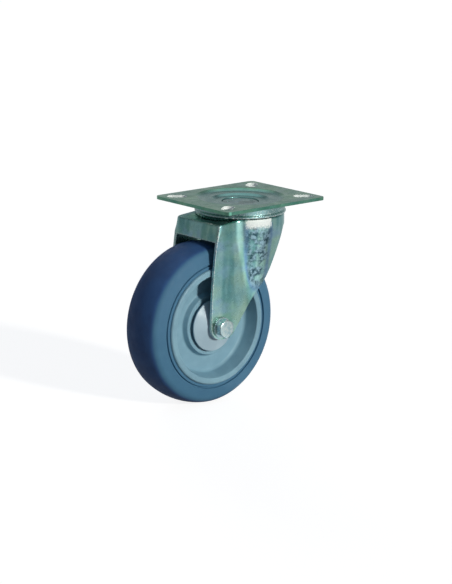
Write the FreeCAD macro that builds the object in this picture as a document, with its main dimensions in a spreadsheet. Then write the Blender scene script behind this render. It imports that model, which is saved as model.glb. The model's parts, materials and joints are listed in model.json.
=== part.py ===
"""A swivel castor with a top plate, modelled piece by piece.

The origin is the middle of the plate's top face, on the swivel axis. +Z is up, +X is the way the castor
rolls, and the wheel trails towards -X. Lengths are millimetres, and a depth is measured down from the
plate's top face.
"""
import FreeCAD, Part
import math
import os
import Sketcher

# Driving sizes, each set once
SIZES = {
    # Overall
    "trail": 40,
    "wheel_radius": 62.5,
    # Running and slip fits
    "race_clearance": 0.04,
    "slip_clearance": 0.05,
    "bolt_clearance": 0.15,
    # Top plate: a pressed sheet with a dish in its middle
    "plate_length": 100,
    "plate_width": 85,
    "plate_thickness": 2.5,
    "plate_corner": 4,
    "slot_width": 9,
    "slot_length": 15.5,
    "slot_end_margin": 11.5,
    "slot_side_margin": 13,
    "dish_radius": 34.6,
    "dish_depth": 1.8,
    "dish_slope": 3.8,
    "pan_radius": 20.3,
    "pan_depth": 3.4,
    "pan_slope": 2,
    "press_rounding": 2.5,
    # King pin and its spacer
    "pin_radius": 8,
    "pin_head_radius": 13.9,
    "pin_head_height": 2.5,
    "pin_seat_depth": 7,
    "pin_edge": 0.6,
    "pin_rivet_radius": 11,
    "pin_rivet_height": 2.4,
    "pin_dimple_radius": 1,
    "pin_dimple_pitch": 9.3,
    "pin_dimple_depth": 1.2,
    "pin_dimple_angle": -32.5,
    "spacer_radius": 11,
    # Ball rows of the swivel head
    "race_depth": 0.5,
    "upper_ball_radius": 4,
    "upper_ball_pitch": 27,
    "upper_ball_count": 20,
    "lower_ball_radius": 3,
    "lower_ball_pitch": 20,
    "lower_ball_count": 20,
    "cup_thickness": 2.5,
    "cup_rim_height": 3.6,
    "cup_rim_lean": 1.8,
    # Dust ring round the upper ball row
    "dust_ring_radius": 34.4,
    "dust_ring_thickness": 1.2,
    "dust_ring_gap": 0.4,
    "dust_lip_reach": 0.7,
    "dust_lip_height": 1.3,
    # Fork: one pressed sheet
    "fork_sheet": 2.5,
    "wheel_side_gap": 1.4,
    "drum_radius": 34,
    "drum_rounding": 2.2,
    "drum_straight_depth": 24,
    "drum_fade_depth": 78,
    "crown_hole_radius": 13.6,
    "seat_step": 0.4,
    "panel_fall": 2.42,
    "panel_height": 13.2,
    "panel_wheel_gap": 3,
    "panel_bend": 1.6,
    "edge_lean": 6.8,
    "foot_radius": 9.6,
    "foot_reach": 10.2,
    "foot_corner": 9,
    "skirt_depth": 18.5,
    "throat_reach": 19.5,
    "throat_depth": 20.5,
    "throat_rounding": 6,
    "knee_reach": 2.8,
    "knee_depth": 58.5,
    "knee_rounding": 60,
    # Axle bolt, washers and lock nut
    "bolt_radius": 4,
    "hex_width": 13,
    "head_height": 5.3,
    "hex_face_radius": 6.15,
    "hex_chamfer_angle": 30,
    "washer_radius": 8,
    "washer_thickness": 1.6,
    "nut_height": 6,
    "nut_collar_radius": 5.9,
    "nut_collar_height": 2.4,
    "insert_radius": 5,
    "insert_recess": 0.5,
    "bolt_tip": 2,
    "bolt_tip_chamfer": 0.8,
    "sleeve_wall": 1.8,
    # Ball bearings of the wheel
    "bearing_outer_radius": 14,
    "bearing_width": 8,
    "bearing_ring_wall": 2.2,
    "hub_ball_radius": 2.38,
    "hub_ball_count": 8,
    "seal_thickness": 0.6,
    # Wheel core: one moulding
    "rim_half_width": 21.1,
    "rim_face_width": 4.9,
    "rim_wall": 7.8,
    "web_half": 8.9,
    "web_rounding": 3,
    "hub_base_radius": 25.1,
    "hub_face_radius": 23.4,
    "hub_half": 13.2,
    "hub_recess_radius": 20.8,
    "hub_recess_depth": 0.6,
    "hub_shoulder_radius": 12,
    "core_edge": 0.7,
    "rib_height": 3.4,
    "rib_half": 6,
    # Tyre, whose height over the rim sets the rim's size
    "tyre_height": 17.2,
    "tread_crown_radius": 46,
    "shoulder_half": 16.8,
    "shoulder_rounding": 7,
    "sidewall_half": 19.2,
    "line_rise": 3.6,
    "line_width": 0.9,
    "line_depth": 0.8,
    # Thread guards
    "guard_radius": 20,
    "guard_back_gap": 2,
    "guard_thickness": 1.1,
    "guard_dome": 1.1,
    "guard_boss_radius": 8.9,
    "guard_boss_draft": 0.5,
    "guard_neck_wall": 1.6,
}

# Sizes that follow from the driving ones
FITS = {
    # The stack of the swivel head, from the plate down
    "dish_under": "sizes.dish_depth + sizes.plate_thickness",
    "upper_ball_depth": "dish_under - sizes.race_depth + sizes.upper_ball_radius + sizes.race_clearance",
    "crown_depth": "upper_ball_depth + sizes.upper_ball_radius + sizes.race_clearance - sizes.race_depth",
    "crown_under": "crown_depth + sizes.fork_sheet",
    "lower_ball_depth": "crown_under - sizes.race_depth + sizes.lower_ball_radius + sizes.race_clearance",
    "cup_depth": "lower_ball_depth + sizes.lower_ball_radius + sizes.race_clearance - sizes.race_depth",
    "cup_under": "cup_depth + sizes.cup_thickness",
    "pin_seat_under": "sizes.pin_seat_depth + sizes.plate_thickness",
    "pin_hole_radius": "sizes.pin_radius + sizes.slip_clearance",
    "pin_pocket_radius": "sizes.pin_head_radius + 6 * sizes.slip_clearance",
    # How far a pressed slope's underside is shifted outwards
    "dish_shift": "sizes.plate_thickness * tan(atan(sizes.dish_depth / sizes.dish_slope) / 2)",
    "pan_shift": "sizes.plate_thickness"
    " * tan(atan((sizes.pan_depth - sizes.dish_depth) / sizes.pan_slope) / 2)",
    "dish_join": "sizes.dish_radius + dish_shift + sizes.plate_thickness / 2",
    "dish_under_radius": "sizes.dish_radius + dish_shift",
    "dust_ring_inside": "sizes.dust_ring_radius - sizes.dust_ring_thickness",
    "dust_ring_bottom": "crown_depth - sizes.dust_ring_gap",
    "dish_grade": "sizes.dish_depth / sizes.dish_slope",
    # The slots point at the middle of the plate
    "slot_along": "sizes.plate_length / 2 - sizes.slot_end_margin",
    "slot_aside": "sizes.plate_width / 2 - sizes.slot_side_margin",
    "slot_centre_radius": "sqrt(slot_along ^ 2 + slot_aside ^ 2)",
    "slot_inner": "1 - (sizes.slot_length - sizes.slot_width) / 2 / slot_centre_radius",
    "slot_outer": "1 + (sizes.slot_length - sizes.slot_width) / 2 / slot_centre_radius",
    # Fork, whose back panel sets how high the wheel can sit
    "panel_top_depth": "crown_depth + sizes.panel_fall",
    "panel_bottom_depth": "panel_top_depth + sizes.panel_height",
    "axle_depth": "panel_bottom_depth + sizes.panel_wheel_gap + sizes.wheel_radius",
    "fork_inner_half": "sizes.rim_half_width + sizes.wheel_side_gap",
    "fork_outer_half": "fork_inner_half + sizes.fork_sheet",
    "seat_end": "sqrt(sizes.drum_radius ^ 2 - fork_outer_half ^ 2)",
    "edge_back": "sizes.trail + sizes.foot_radius",
    "foot_depth": "axle_depth + sizes.foot_radius",
    "edge_rise": "axle_depth - panel_top_depth",
    "edge_radius": "(edge_rise ^ 2 + sizes.edge_lean ^ 2) / 2 / sizes.edge_lean",
    "panel_back": "edge_back - edge_radius"
    " + sqrt(edge_radius ^ 2 - (axle_depth - panel_bottom_depth) ^ 2)",
    "drum_end_depth": "sizes.drum_fade_depth + (sizes.drum_fade_depth - sizes.drum_straight_depth)"
    " * sizes.fork_sheet / (sizes.drum_radius - fork_outer_half)",
    "far": "sizes.wheel_radius + sizes.trail",
    # Axle
    "hex_corner": "sizes.hex_width / sqrt(3)",
    "washer_face": "fork_outer_half + sizes.washer_thickness",
    "head_face": "washer_face + sizes.head_height",
    "nut_face": "washer_face + sizes.nut_height",
    "collar_face": "nut_face + sizes.nut_collar_height",
    "bolt_end": "collar_face + sizes.bolt_tip",
    "bolt_hole_radius": "sizes.bolt_radius + sizes.bolt_clearance",
    "nut_bore": "sizes.bolt_radius + sizes.slip_clearance",
    "sleeve_bore": "bolt_hole_radius + sizes.slip_clearance",
    "sleeve_radius": "sleeve_bore + sizes.sleeve_wall",
    "sleeve_hole": "sleeve_radius + sizes.slip_clearance",
    # Bearings, placed by the recess in the hub's face
    "bearing_face": "sizes.hub_half - sizes.hub_recess_depth",
    "bearing_middle": "bearing_face - sizes.bearing_width / 2",
    "bearing_back": "bearing_face - sizes.bearing_width",
    "inner_ring_radius": "sleeve_hole + sizes.bearing_ring_wall",
    "outer_ring_inside": "sizes.bearing_outer_radius - sizes.bearing_ring_wall",
    "hub_ball_pitch": "(inner_ring_radius + outer_ring_inside) / 2",
    "hub_race_radius": "sizes.hub_ball_radius + sizes.race_clearance",
    # Thread guards
    "guard_back": "sizes.hub_half + sizes.guard_back_gap",
    "guard_edge": "guard_back + sizes.guard_thickness",
    "guard_face": "guard_edge + sizes.guard_dome / 2",
    # Wheel, from the tread inwards
    "rim_radius": "sizes.wheel_radius - sizes.tyre_height",
    "rim_face_radius": "rim_radius - sizes.rim_face_width",
    "recess_radius": "rim_radius - sizes.rim_wall",
    "line_radius": "rim_radius + sizes.line_rise",
    "rib_radius": "rim_radius + sizes.rib_height",
    "shoulder_radius": "sizes.wheel_radius - sizes.tread_crown_radius"
    " + sqrt(sizes.tread_crown_radius ^ 2 - sizes.shoulder_half ^ 2)",
}

# The origin planes that outlines are drawn on
XY, XZ = "XY_Plane", "XZ_Plane"

doc = FreeCAD.newDocument("swivel_castor")


def fill_sheet(name, cells, prefix=""):
    """A spreadsheet with one named cell a row."""
    sheet = doc.addObject("Spreadsheet::Sheet", name)
    for row, (alias, content) in enumerate(cells.items(), start=1):
        sheet.set(f"A{row}", alias)
        sheet.set(f"B{row}", f"{prefix}{content}")
        sheet.setAlias(f"B{row}", alias)
    doc.recompute()
    return sheet


sizes = fill_sheet("sizes", SIZES)
fits = fill_sheet("fits", FITS, prefix="=")


def number(expression):
    """What a sheet expression comes to now."""
    return float(fits.evalExpression(expression))


class Corner:
    """A corner of an outline, in sheet expressions.

    rounding is the radius of the arc that rounds it, and arc the radius of the arc that runs from it to
    the next corner, which bends to the left unless right is set.
    """

    def __init__(self, across, up, rounding=None, arc=None, right=False):
        self.across, self.up = across, up
        self.rounding, self.arc, self.right = rounding, arc, right

    def place(self):
        """The corner's present place in its sketch."""
        return FreeCAD.Vector(number(self.across), number(self.up), 0)

    def mirrored(self):
        """The same corner on the other side of the sketch's level axis."""
        return Corner(self.across, f"-({self.up})", self.rounding, self.arc, self.right)


def both_sides(half):
    """A closed outline from the half of it that lies above the level axis."""
    return half + [corner.mirrored() for corner in reversed(half)]


def new_body(label, on_axle=False):
    """An empty body, standing on the swivel axis or on the wheel's axle."""
    body = doc.addObject("PartDesign::Body", label)
    body.Label = label
    if on_axle:
        body.setExpression("Placement.Base.x", "-sizes.trail")
        body.setExpression("Placement.Base.z", "-fits.axle_depth")
    return body


def origin_feature(body, role):
    """A plane or axis of the body's own origin."""
    return next(item for item in body.Origin.OriginFeatures if item.Role == role)


def new_sketch(body, name, plane, offset=None):
    """A sketch on one of the body's planes, or shifted along that plane's normal."""
    sketch = body.newObject("Sketcher::SketchObject", name)
    sketch.AttachmentSupport = [(origin_feature(body, plane), "")]
    sketch.MapMode = "FlatFace"
    if offset:
        sketch.setExpression("AttachmentOffset.Base.z", offset)
    return sketch


def bind(sketch, constraint, expression):
    """Adds a constraint whose size follows the sheets."""
    index = sketch.addConstraint(constraint)
    sketch.setExpression(f"Constraints[{index}]", expression)


def bind_point(sketch, geometry, end, across, up):
    """Holds a point of the sketch at a place that follows the sheets."""
    origin = (-1, 1)
    bind(sketch, Sketcher.Constraint("DistanceX", *origin, geometry, end, number(across)), across)
    bind(sketch, Sketcher.Constraint("DistanceY", *origin, geometry, end, number(up)), up)


def side_arc(start, end, radius, right):
    """The arc from start to end, and which of its ends each of the two is."""
    if right:
        start, end = end, start
    chord = end - start
    to_centre = math.sqrt(max(radius**2 - (chord.Length / 2) ** 2, 0))
    normal = FreeCAD.Vector(-chord.y, chord.x, 0).normalize()
    centre = (start + end) * 0.5 + normal * to_centre
    angles = [math.atan2(p.y - centre.y, p.x - centre.x) for p in (start, end)]
    circle = Part.Circle(centre, FreeCAD.Vector(0, 0, 1), radius)
    return Part.ArcOfCircle(circle, *angles), ((2, 1) if right else (1, 2))


def draw_outline(sketch, corners):
    """Draws a closed outline of straight sides, arcs and rounded corners, fully constrained."""
    count = len(corners)
    places = [corner.place() for corner in corners]
    trims = []
    for i, corner in enumerate(corners):
        before = (places[i - 1] - places[i]).normalize()
        after = (places[(i + 1) % count] - places[i]).normalize()
        half_angle = before.getAngle(after) / 2
        radius = number(corner.rounding) if corner.rounding else 0
        trims.append((radius, radius / math.tan(half_angle), before, after))

    sides, ends = [], []
    for i, corner in enumerate(corners):
        j = (i + 1) % count
        if corner.arc:
            arc, order = side_arc(places[i], places[j], number(corner.arc), corner.right)
            sides.append(sketch.addGeometry(arc, False))
            ends.append(order)
            continue
        start = places[i] + trims[i][3] * trims[i][1]
        stop = places[j] + trims[j][2] * trims[j][1]
        sides.append(sketch.addGeometry(Part.LineSegment(start, stop), False))
        ends.append((1, 2))

    for i, corner in enumerate(corners):
        last, here = sides[i - 1], sides[i]
        last_end, here_start = ends[i - 1][1], ends[i][0]
        if corner.rounding:
            round_corner(sketch, corner, places[i], trims[i], (last, last_end), (here, here_start))
        else:
            sketch.addConstraint(Sketcher.Constraint("Coincident", last, last_end, here, here_start))
            bind_point(sketch, here, here_start, corner.across, corner.up)
        if corner.arc:
            bind(sketch, Sketcher.Constraint("Radius", here, number(corner.arc)), corner.arc)


def round_corner(sketch, corner, place, trim, last, here):
    """Rounds the corner between two straight sides with a tangent arc."""
    radius, length, before, after = trim
    start, stop = place + before * length, place + after * length
    centre = place + (before + after).normalize() * math.hypot(radius, length)
    angles = [math.atan2(p.y - centre.y, p.x - centre.x) for p in (start, stop)]
    left_turn = before.cross(after).z < 0
    order = (1, 2) if left_turn else (2, 1)
    if not left_turn:
        angles.reverse()
    circle = Part.Circle(centre, FreeCAD.Vector(0, 0, 1), radius)
    arc = sketch.addGeometry(Part.ArcOfCircle(circle, *angles), False)
    point = sketch.addGeometry(Part.Point(place), True)
    sketch.addConstraint([
        Sketcher.Constraint("Tangent", *last, arc, order[0]),
        Sketcher.Constraint("Tangent", *here, arc, order[1]),
        Sketcher.Constraint("PointOnObject", point, 1, last[0]),
        Sketcher.Constraint("PointOnObject", point, 1, here[0]),
    ])
    bind_point(sketch, point, 1, corner.across, corner.up)
    bind(sketch, Sketcher.Constraint("Radius", arc, radius), corner.rounding)


def draw_circle(sketch, across, up, radius):
    """Draws a circle whose place and size follow the sheets."""
    centre = FreeCAD.Vector(number(across), number(up), 0)
    circle = Part.Circle(centre, FreeCAD.Vector(0, 0, 1), number(radius))
    index = sketch.addGeometry(circle, False)
    bind_point(sketch, index, 3, across, up)
    bind(sketch, Sketcher.Constraint("Radius", index, number(radius)), radius)


def draw_slot(sketch, inner, outer, width):
    """Draws a slot with round ends between two places, which share the slope of its sides."""
    first = FreeCAD.Vector(number(inner[0]), number(inner[1]), 0)
    second = FreeCAD.Vector(number(outer[0]), number(outer[1]), 0)
    radius = number(width) / 2
    way = (second - first).normalize()
    left = FreeCAD.Vector(-way.y, way.x, 0) * radius
    heading = math.atan2(way.y, way.x)
    quarter = math.pi / 2
    up = FreeCAD.Vector(0, 0, 1)
    near = sketch.addGeometry(
        Part.ArcOfCircle(Part.Circle(first, up, radius), heading + quarter, heading + 3 * quarter), False
    )
    far = sketch.addGeometry(
        Part.ArcOfCircle(Part.Circle(second, up, radius), heading - quarter, heading + quarter), False
    )
    left_side = sketch.addGeometry(Part.LineSegment(second + left, first + left), False)
    right_side = sketch.addGeometry(Part.LineSegment(first - left, second - left), False)
    sketch.addConstraint([
        Sketcher.Constraint("Tangent", far, 2, left_side, 1),
        Sketcher.Constraint("Tangent", left_side, 2, near, 1),
        Sketcher.Constraint("Tangent", near, 2, right_side, 1),
        Sketcher.Constraint("Tangent", right_side, 2, far, 1),
    ])
    bind_point(sketch, near, 3, *inner)
    bind_point(sketch, far, 3, *outer)
    bind(sketch, Sketcher.Constraint("Radius", near, radius), f"{width} / 2")


def turn(body, name, plane, corners, kind="PartDesign::Revolution"):
    """Turns an outline right round the upright axis of its sketch, to add it or to cut it away."""
    sketch = new_sketch(body, f"{name}_outline", plane)
    draw_outline(sketch, corners)
    return spin(body, name, sketch, kind)


def spin(body, name, sketch, kind):
    """Turns a drawn sketch right round its upright axis."""
    feature = body.newObject(kind, name)
    feature.Profile = sketch
    feature.ReferenceAxis = (sketch, ["V_Axis"])
    feature.Angle = 360
    doc.recompute()
    return feature


def tube(body, name, plane, inside, outside, low, high):
    """Turns a plain ring or tube between two levels of its axis."""
    return turn(body, name, plane, [
        Corner(inside, low),
        Corner(outside, low),
        Corner(outside, high),
        Corner(inside, high),
    ])


def race(body, name, plane, pitch, level, radius):
    """Cuts a round ball track, a ring of circular section."""
    sketch = new_sketch(body, f"{name}_section", plane)
    draw_circle(sketch, pitch, level, radius)
    return spin(body, name, sketch, "PartDesign::Groove")


def cut(body, name, sketch, length=None, symmetric=True):
    """Cuts a drawn sketch away, by a length that follows the sheets or right through both ways."""
    before = body.Shape.Volume
    pocket = body.newObject("PartDesign::Pocket", name)
    pocket.Profile = sketch
    pocket.SideType = "Symmetric" if symmetric else "One side"
    if length:
        pocket.setExpression("Length", length)
    else:
        pocket.Type = "ThroughAll"
    doc.recompute()
    assert body.Shape.Volume < before, f"{name} cut nothing"
    return pocket


def pad(body, name, sketch, length, backwards=False, symmetric=False):
    """Pads a drawn sketch by a length that follows the sheets."""
    feature = body.newObject("PartDesign::Pad", name)
    feature.Profile = sketch
    feature.SideType = "Symmetric" if symmetric else "One side"
    feature.Reversed = backwards
    feature.setExpression("Length", length)
    doc.recompute()
    return feature


def round_edges(body, name, radius, chosen):
    """Rounds the edges of the body's last feature that a test picks out."""
    base = body.Tip
    names = [f"Edge{i}" for i, edge in enumerate(base.Shape.Edges, start=1) if chosen(edge)]
    feature = body.newObject("PartDesign::Fillet", name)
    feature.Base = (base, names)
    feature.setExpression("Radius", radius)
    doc.recompute()
    return feature


def ball_row(label, radius, pitch, level, count, axis="Z_Axis", on_axle=False):
    """A row of loose balls round an axis, as one body of separate solids."""
    body = new_body(label, on_axle)
    body.AllowCompound = True
    ball = body.newObject("PartDesign::AdditiveSphere", f"{label}_first")
    ball.setExpression("Radius", radius)
    ball.setExpression("Placement.Base.x", pitch)
    ball.setExpression("Placement.Base.y" if on_axle else "Placement.Base.z", level)
    doc.recompute()
    row = body.newObject("PartDesign::PolarPattern", f"{label}_row")
    row.Originals = [ball]
    row.Axis = (origin_feature(body, axis), [""])
    row.Angle = 360
    row.setExpression("Occurrences", count)
    body.Tip = row
    return body


# The swivel head, fixed to the plate

def make_top_plate():
    """The pressed plate: four slots, a dished middle that is the upper ball track, and the pin's seat."""
    body = new_body("top_plate")
    blank = new_sketch(body, "plate_blank", XY)
    half_long, half_wide = "sizes.plate_length / 2", "sizes.plate_width / 2"
    corner = "sizes.plate_corner"
    draw_outline(blank, [
        Corner(half_long, half_wide, corner),
        Corner(f"-{half_long}", half_wide, corner),
        Corner(f"-{half_long}", f"-{half_wide}", corner),
        Corner(half_long, f"-{half_wide}", corner),
    ])
    pad(body, "plate_sheet", blank, "sizes.plate_thickness", backwards=True)

    opening = new_sketch(body, "dish_opening", XY)
    draw_circle(opening, "0", "0", "fits.dish_join")
    cut(body, "dish_cut", opening)

    press = "sizes.press_rounding"
    floor, pan, seat = "-sizes.dish_depth", "-sizes.pan_depth", "-sizes.pin_seat_depth"
    sheet = "sizes.plate_thickness"
    turn(body, "dish", XZ, [
        Corner("fits.dish_join", "0"),
        Corner("sizes.dish_radius", "0", press),
        Corner("sizes.dish_radius - sizes.dish_slope", floor, press),
        Corner("sizes.pan_radius + sizes.pan_slope", floor, f"{press} / 2"),
        Corner("sizes.pan_radius", pan, f"{press} / 2"),
        Corner("fits.pin_pocket_radius", pan, f"{press} / 4"),
        Corner("fits.pin_pocket_radius", seat),
        Corner("fits.pin_hole_radius", seat),
        Corner("fits.pin_hole_radius", "-fits.pin_seat_under"),
        Corner(f"fits.pin_pocket_radius + {sheet}", "-fits.pin_seat_under"),
        Corner(f"fits.pin_pocket_radius + {sheet}", f"{pan} - {sheet}"),
        Corner("sizes.pan_radius + fits.pan_shift", f"{pan} - {sheet}"),
        Corner("sizes.pan_radius + sizes.pan_slope + fits.pan_shift", "-fits.dish_under"),
        Corner("fits.dish_under_radius - sizes.dish_slope", "-fits.dish_under"),
        Corner("fits.dish_under_radius", f"-{sheet}"),
        Corner("fits.dish_join", f"-{sheet}"),
    ])

    slots = new_sketch(body, "bolt_slots", XY)
    for side in ("", "-"):
        for end in ("", "-"):
            place = (f"{end}fits.slot_along", f"{side}fits.slot_aside")
            inner = [f"{way} * fits.slot_inner" for way in place]
            outer = [f"{way} * fits.slot_outer" for way in place]
            draw_slot(slots, inner, outer, "sizes.slot_width")
    cut(body, "bolt_slot_cut", slots)
    race(body, "upper_track", XZ, "sizes.upper_ball_pitch", "-fits.upper_ball_depth",
         "sizes.upper_ball_radius + sizes.race_clearance")
    return body


def make_dust_ring():
    """The thin ring that closes the gap round the upper ball row, with a lip at its foot."""
    body = new_body("dust_ring")
    inside, outside = "fits.dust_ring_inside", "sizes.dust_ring_radius"
    bottom = "-fits.dust_ring_bottom"
    seat = "-sizes.plate_thickness - (fits.dish_under_radius - {}) * fits.dish_grade"
    turn(body, "ring", XZ, [
        Corner(inside, seat.format(inside)),
        Corner(inside, bottom),
        Corner(f"{outside} + sizes.dust_lip_reach", bottom, "sizes.dust_lip_reach / 2"),
        Corner(f"{outside} + sizes.dust_lip_reach", f"{bottom} + sizes.dust_lip_height"),
        Corner(outside, f"{bottom} + 2 * sizes.dust_lip_height"),
        Corner(outside, seat.format(outside)),
    ])
    return body


def make_king_pin():
    """The pin that holds the head together: seated in the plate, riveted over under the lower cup."""
    body = new_body("king_pin")
    top = "-sizes.pin_seat_depth + sizes.pin_head_height"
    rivet_end = "-fits.cup_under - sizes.pin_rivet_height"
    turn(body, "pin", XZ, [
        Corner("0", top),
        Corner("sizes.pin_head_radius", top, "sizes.pin_edge"),
        Corner("sizes.pin_head_radius", "-sizes.pin_seat_depth"),
        Corner("sizes.pin_radius", "-sizes.pin_seat_depth"),
        Corner("sizes.pin_radius", "-fits.cup_under"),
        Corner("sizes.pin_rivet_radius", "-fits.cup_under"),
        Corner("sizes.pin_rivet_radius", rivet_end, "sizes.pin_rivet_height / 2"),
        Corner("0", rivet_end),
    ])
    dimples = new_sketch(body, "dimple_places", XY, offset=top)
    pitch, angle = "sizes.pin_dimple_pitch", "sizes.pin_dimple_angle * 1 deg"
    for sign in ("", "-"):
        draw_circle(dimples, f"{sign}{pitch} * cos({angle})", f"{sign}{pitch} * sin({angle})",
                    "sizes.pin_dimple_radius")
    cut(body, "dimples", dimples, "sizes.pin_dimple_depth", symmetric=False)
    return body


def make_spacer_bush():
    """The bush on the pin that keeps the plate and the lower cup apart."""
    body = new_body("spacer_bush")
    tube(body, "bush", XZ, "fits.pin_hole_radius", "sizes.spacer_radius",
         "-fits.pin_seat_under", "-fits.cup_depth")
    return body


def make_lower_cup():
    """The pressed cup that is the lower ball track, with its rim turned up."""
    body = new_body("lower_race_cup")
    wall = "sizes.lower_ball_pitch + sizes.lower_ball_radius + 5 * sizes.race_clearance"
    rim = "-fits.cup_depth + sizes.cup_rim_height"
    lean, sheet = "sizes.cup_rim_lean", "sizes.cup_thickness"
    turn(body, "cup", XZ, [
        Corner("fits.pin_hole_radius", "-fits.cup_depth"),
        Corner(wall, "-fits.cup_depth"),
        Corner(f"{wall} + {lean}", rim),
        Corner(f"{wall} + {lean} + {sheet}", rim),
        Corner(f"{wall} + {sheet} / 2", "-fits.cup_under", f"{sheet} / 2"),
        Corner("fits.pin_hole_radius", "-fits.cup_under"),
    ])
    race(body, "lower_track", XZ, "sizes.lower_ball_pitch", "-fits.lower_ball_depth",
         "sizes.lower_ball_radius + sizes.race_clearance")
    return body


# The fork and what is bolted into it

def leading_edge():
    """The fork's front outline from the throat under the crown down to the foot."""
    return [
        Corner("sizes.throat_reach", "-sizes.throat_depth", "sizes.throat_rounding"),
        Corner("sizes.knee_reach", "-sizes.knee_depth", "sizes.knee_rounding"),
    ]


def make_fork():
    """The fork: one pressed sheet whose round crown fades into two flat legs."""
    body = new_body("fork")
    crown, sheet = "-fits.crown_depth", "sizes.fork_sheet"
    shelf = f"{crown} - sizes.seat_step"
    foot = "-fits.foot_depth"

    legs = new_sketch(body, "leg_outline", XZ)
    throat, knee = leading_edge()
    draw_outline(legs, [
        Corner("sizes.throat_reach", shelf),
        Corner("-fits.seat_end", shelf),
        Corner("-fits.edge_back + sizes.edge_lean", "-fits.panel_top_depth", arc="fits.edge_radius"),
        Corner("-fits.edge_back", "-fits.axle_depth", arc="sizes.foot_radius"),
        Corner("-sizes.trail", foot),
        Corner("-sizes.trail + sizes.foot_reach", foot, "sizes.foot_corner"),
        knee,
        Corner("sizes.throat_reach", "-sizes.throat_depth"),
    ])
    pad(body, "leg_block", legs, "2 * fits.fork_outer_half", symmetric=True)
    back, top = number("sizes.edge_lean - fits.edge_back"), -number("fits.panel_top_depth")
    round_edges(body, "panel_bend", "sizes.panel_bend",
                lambda edge: all(math.hypot(v.X - back, v.Z - top) < 1e-6 for v in edge.Vertexes))
    turn(body, "drum", XZ, [
        Corner("0", crown),
        Corner("sizes.drum_radius", crown, "sizes.drum_rounding"),
        Corner("sizes.drum_radius", "-sizes.drum_straight_depth"),
        Corner("fits.fork_inner_half", "-fits.drum_end_depth"),
        Corner("0", "-fits.drum_end_depth"),
    ])

    front = new_sketch(body, "front_outline", XZ)
    draw_outline(front, [
        Corner("fits.far", "-sizes.skirt_depth"),
        throat,
        knee,
        Corner("-sizes.trail + sizes.foot_reach", foot),
        Corner("-sizes.trail + sizes.foot_reach", "-fits.far - fits.axle_depth"),
        Corner("fits.far", "-fits.far - fits.axle_depth"),
    ])
    cut(body, "front_cut", front)

    gap = new_sketch(body, "wheel_gap_outline", XZ)
    draw_outline(gap, [
        Corner("fits.seat_end / 3", f"{shelf} - {sheet}"),
        Corner("-fits.seat_end", f"{shelf} - {sheet}"),
        Corner(f"-fits.edge_back + sizes.edge_lean + {sheet}", f"-fits.panel_top_depth - {sheet}"),
        Corner(f"-fits.panel_back + {sheet}", "-fits.panel_bottom_depth"),
        Corner("-fits.far", "-fits.panel_bottom_depth"),
        Corner("-fits.far", "-fits.far - fits.axle_depth"),
        Corner("fits.seat_end / 3", "-fits.far - fits.axle_depth"),
    ])
    cut(body, "wheel_gap", gap, "2 * fits.fork_inner_half")

    turn(body, "drum_inside", XZ, [
        Corner("0", f"{crown} - {sheet}"),
        Corner(f"sizes.drum_radius - {sheet}", f"{crown} - {sheet}", f"sizes.drum_rounding / 2"),
        Corner(f"sizes.drum_radius - {sheet}", "-sizes.drum_straight_depth"),
        Corner(f"fits.fork_inner_half - {sheet}", "-fits.drum_end_depth"),
        Corner("0", "-fits.drum_end_depth"),
    ], kind="PartDesign::Groove")

    hole = new_sketch(body, "crown_hole_outline", XY)
    draw_circle(hole, "0", "0", "sizes.crown_hole_radius")
    cut(body, "crown_hole", hole)
    race(body, "crown_top_track", XZ, "sizes.upper_ball_pitch", "-fits.upper_ball_depth",
         "sizes.upper_ball_radius + sizes.race_clearance")
    race(body, "crown_under_track", XZ, "sizes.lower_ball_pitch", "-fits.lower_ball_depth",
         "sizes.lower_ball_radius + sizes.race_clearance")

    axle = new_sketch(body, "axle_hole_outline", XZ)
    draw_circle(axle, "-sizes.trail", "-fits.axle_depth", "fits.bolt_hole_radius")
    cut(body, "axle_holes", axle)
    return body


def draw_hexagon(sketch):
    """Draws a hexagon with two flats upright."""
    flat, half_side, corner = "sizes.hex_width / 2", "fits.hex_corner / 2", "fits.hex_corner"
    draw_outline(sketch, [
        Corner("0", corner),
        Corner(f"-{flat}", half_side),
        Corner(f"-{flat}", f"-{half_side}"),
        Corner("0", f"-{corner}"),
        Corner(flat, f"-{half_side}"),
        Corner(flat, half_side),
    ])


def chamfer_hexagon(body, name, face, inwards):
    """Turns the corners off a hexagon's face, at the usual angle. inwards is the way into the metal."""
    reach = "(sizes.washer_radius - sizes.hex_face_radius)"
    drop = f"{reach} * tan(sizes.hex_chamfer_angle * 1 deg)"
    before = body.Shape.Volume
    turn(body, name, XY, [
        Corner("sizes.hex_face_radius", face),
        Corner("sizes.washer_radius", face),
        Corner("sizes.washer_radius", f"{face} {inwards} {drop}"),
    ], kind="PartDesign::Groove")
    assert body.Shape.Volume < before, f"{name} cut nothing"


def make_axle_bolt():
    """The axle bolt: a hexagon head on the near side and a shank through both legs."""
    body = new_body("axle_bolt", on_axle=True)
    head = new_sketch(body, "head_outline", XZ, offset="fits.washer_face")
    draw_hexagon(head)
    pad(body, "head", head, "sizes.head_height")
    chamfer_hexagon(body, "head_chamfer", "-fits.head_face", "+")
    tip = "sizes.bolt_radius - sizes.bolt_tip_chamfer"
    turn(body, "shank", XY, [
        Corner("0", "-fits.washer_face"),
        Corner("sizes.bolt_radius", "-fits.washer_face"),
        Corner("sizes.bolt_radius", "fits.bolt_end - sizes.bolt_tip_chamfer"),
        Corner(tip, "fits.bolt_end"),
        Corner("0", "fits.bolt_end"),
    ])
    return body


def make_axle_washers():
    """Two flat washers, one against each leg."""
    body = new_body("axle_washers", on_axle=True)
    body.AllowCompound = True
    for name, sign in (("near_washer", "-"), ("far_washer", "")):
        tube(body, name, XY, "fits.bolt_hole_radius", "sizes.washer_radius",
             f"{sign}fits.fork_outer_half", f"{sign}fits.washer_face")
    return body


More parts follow.
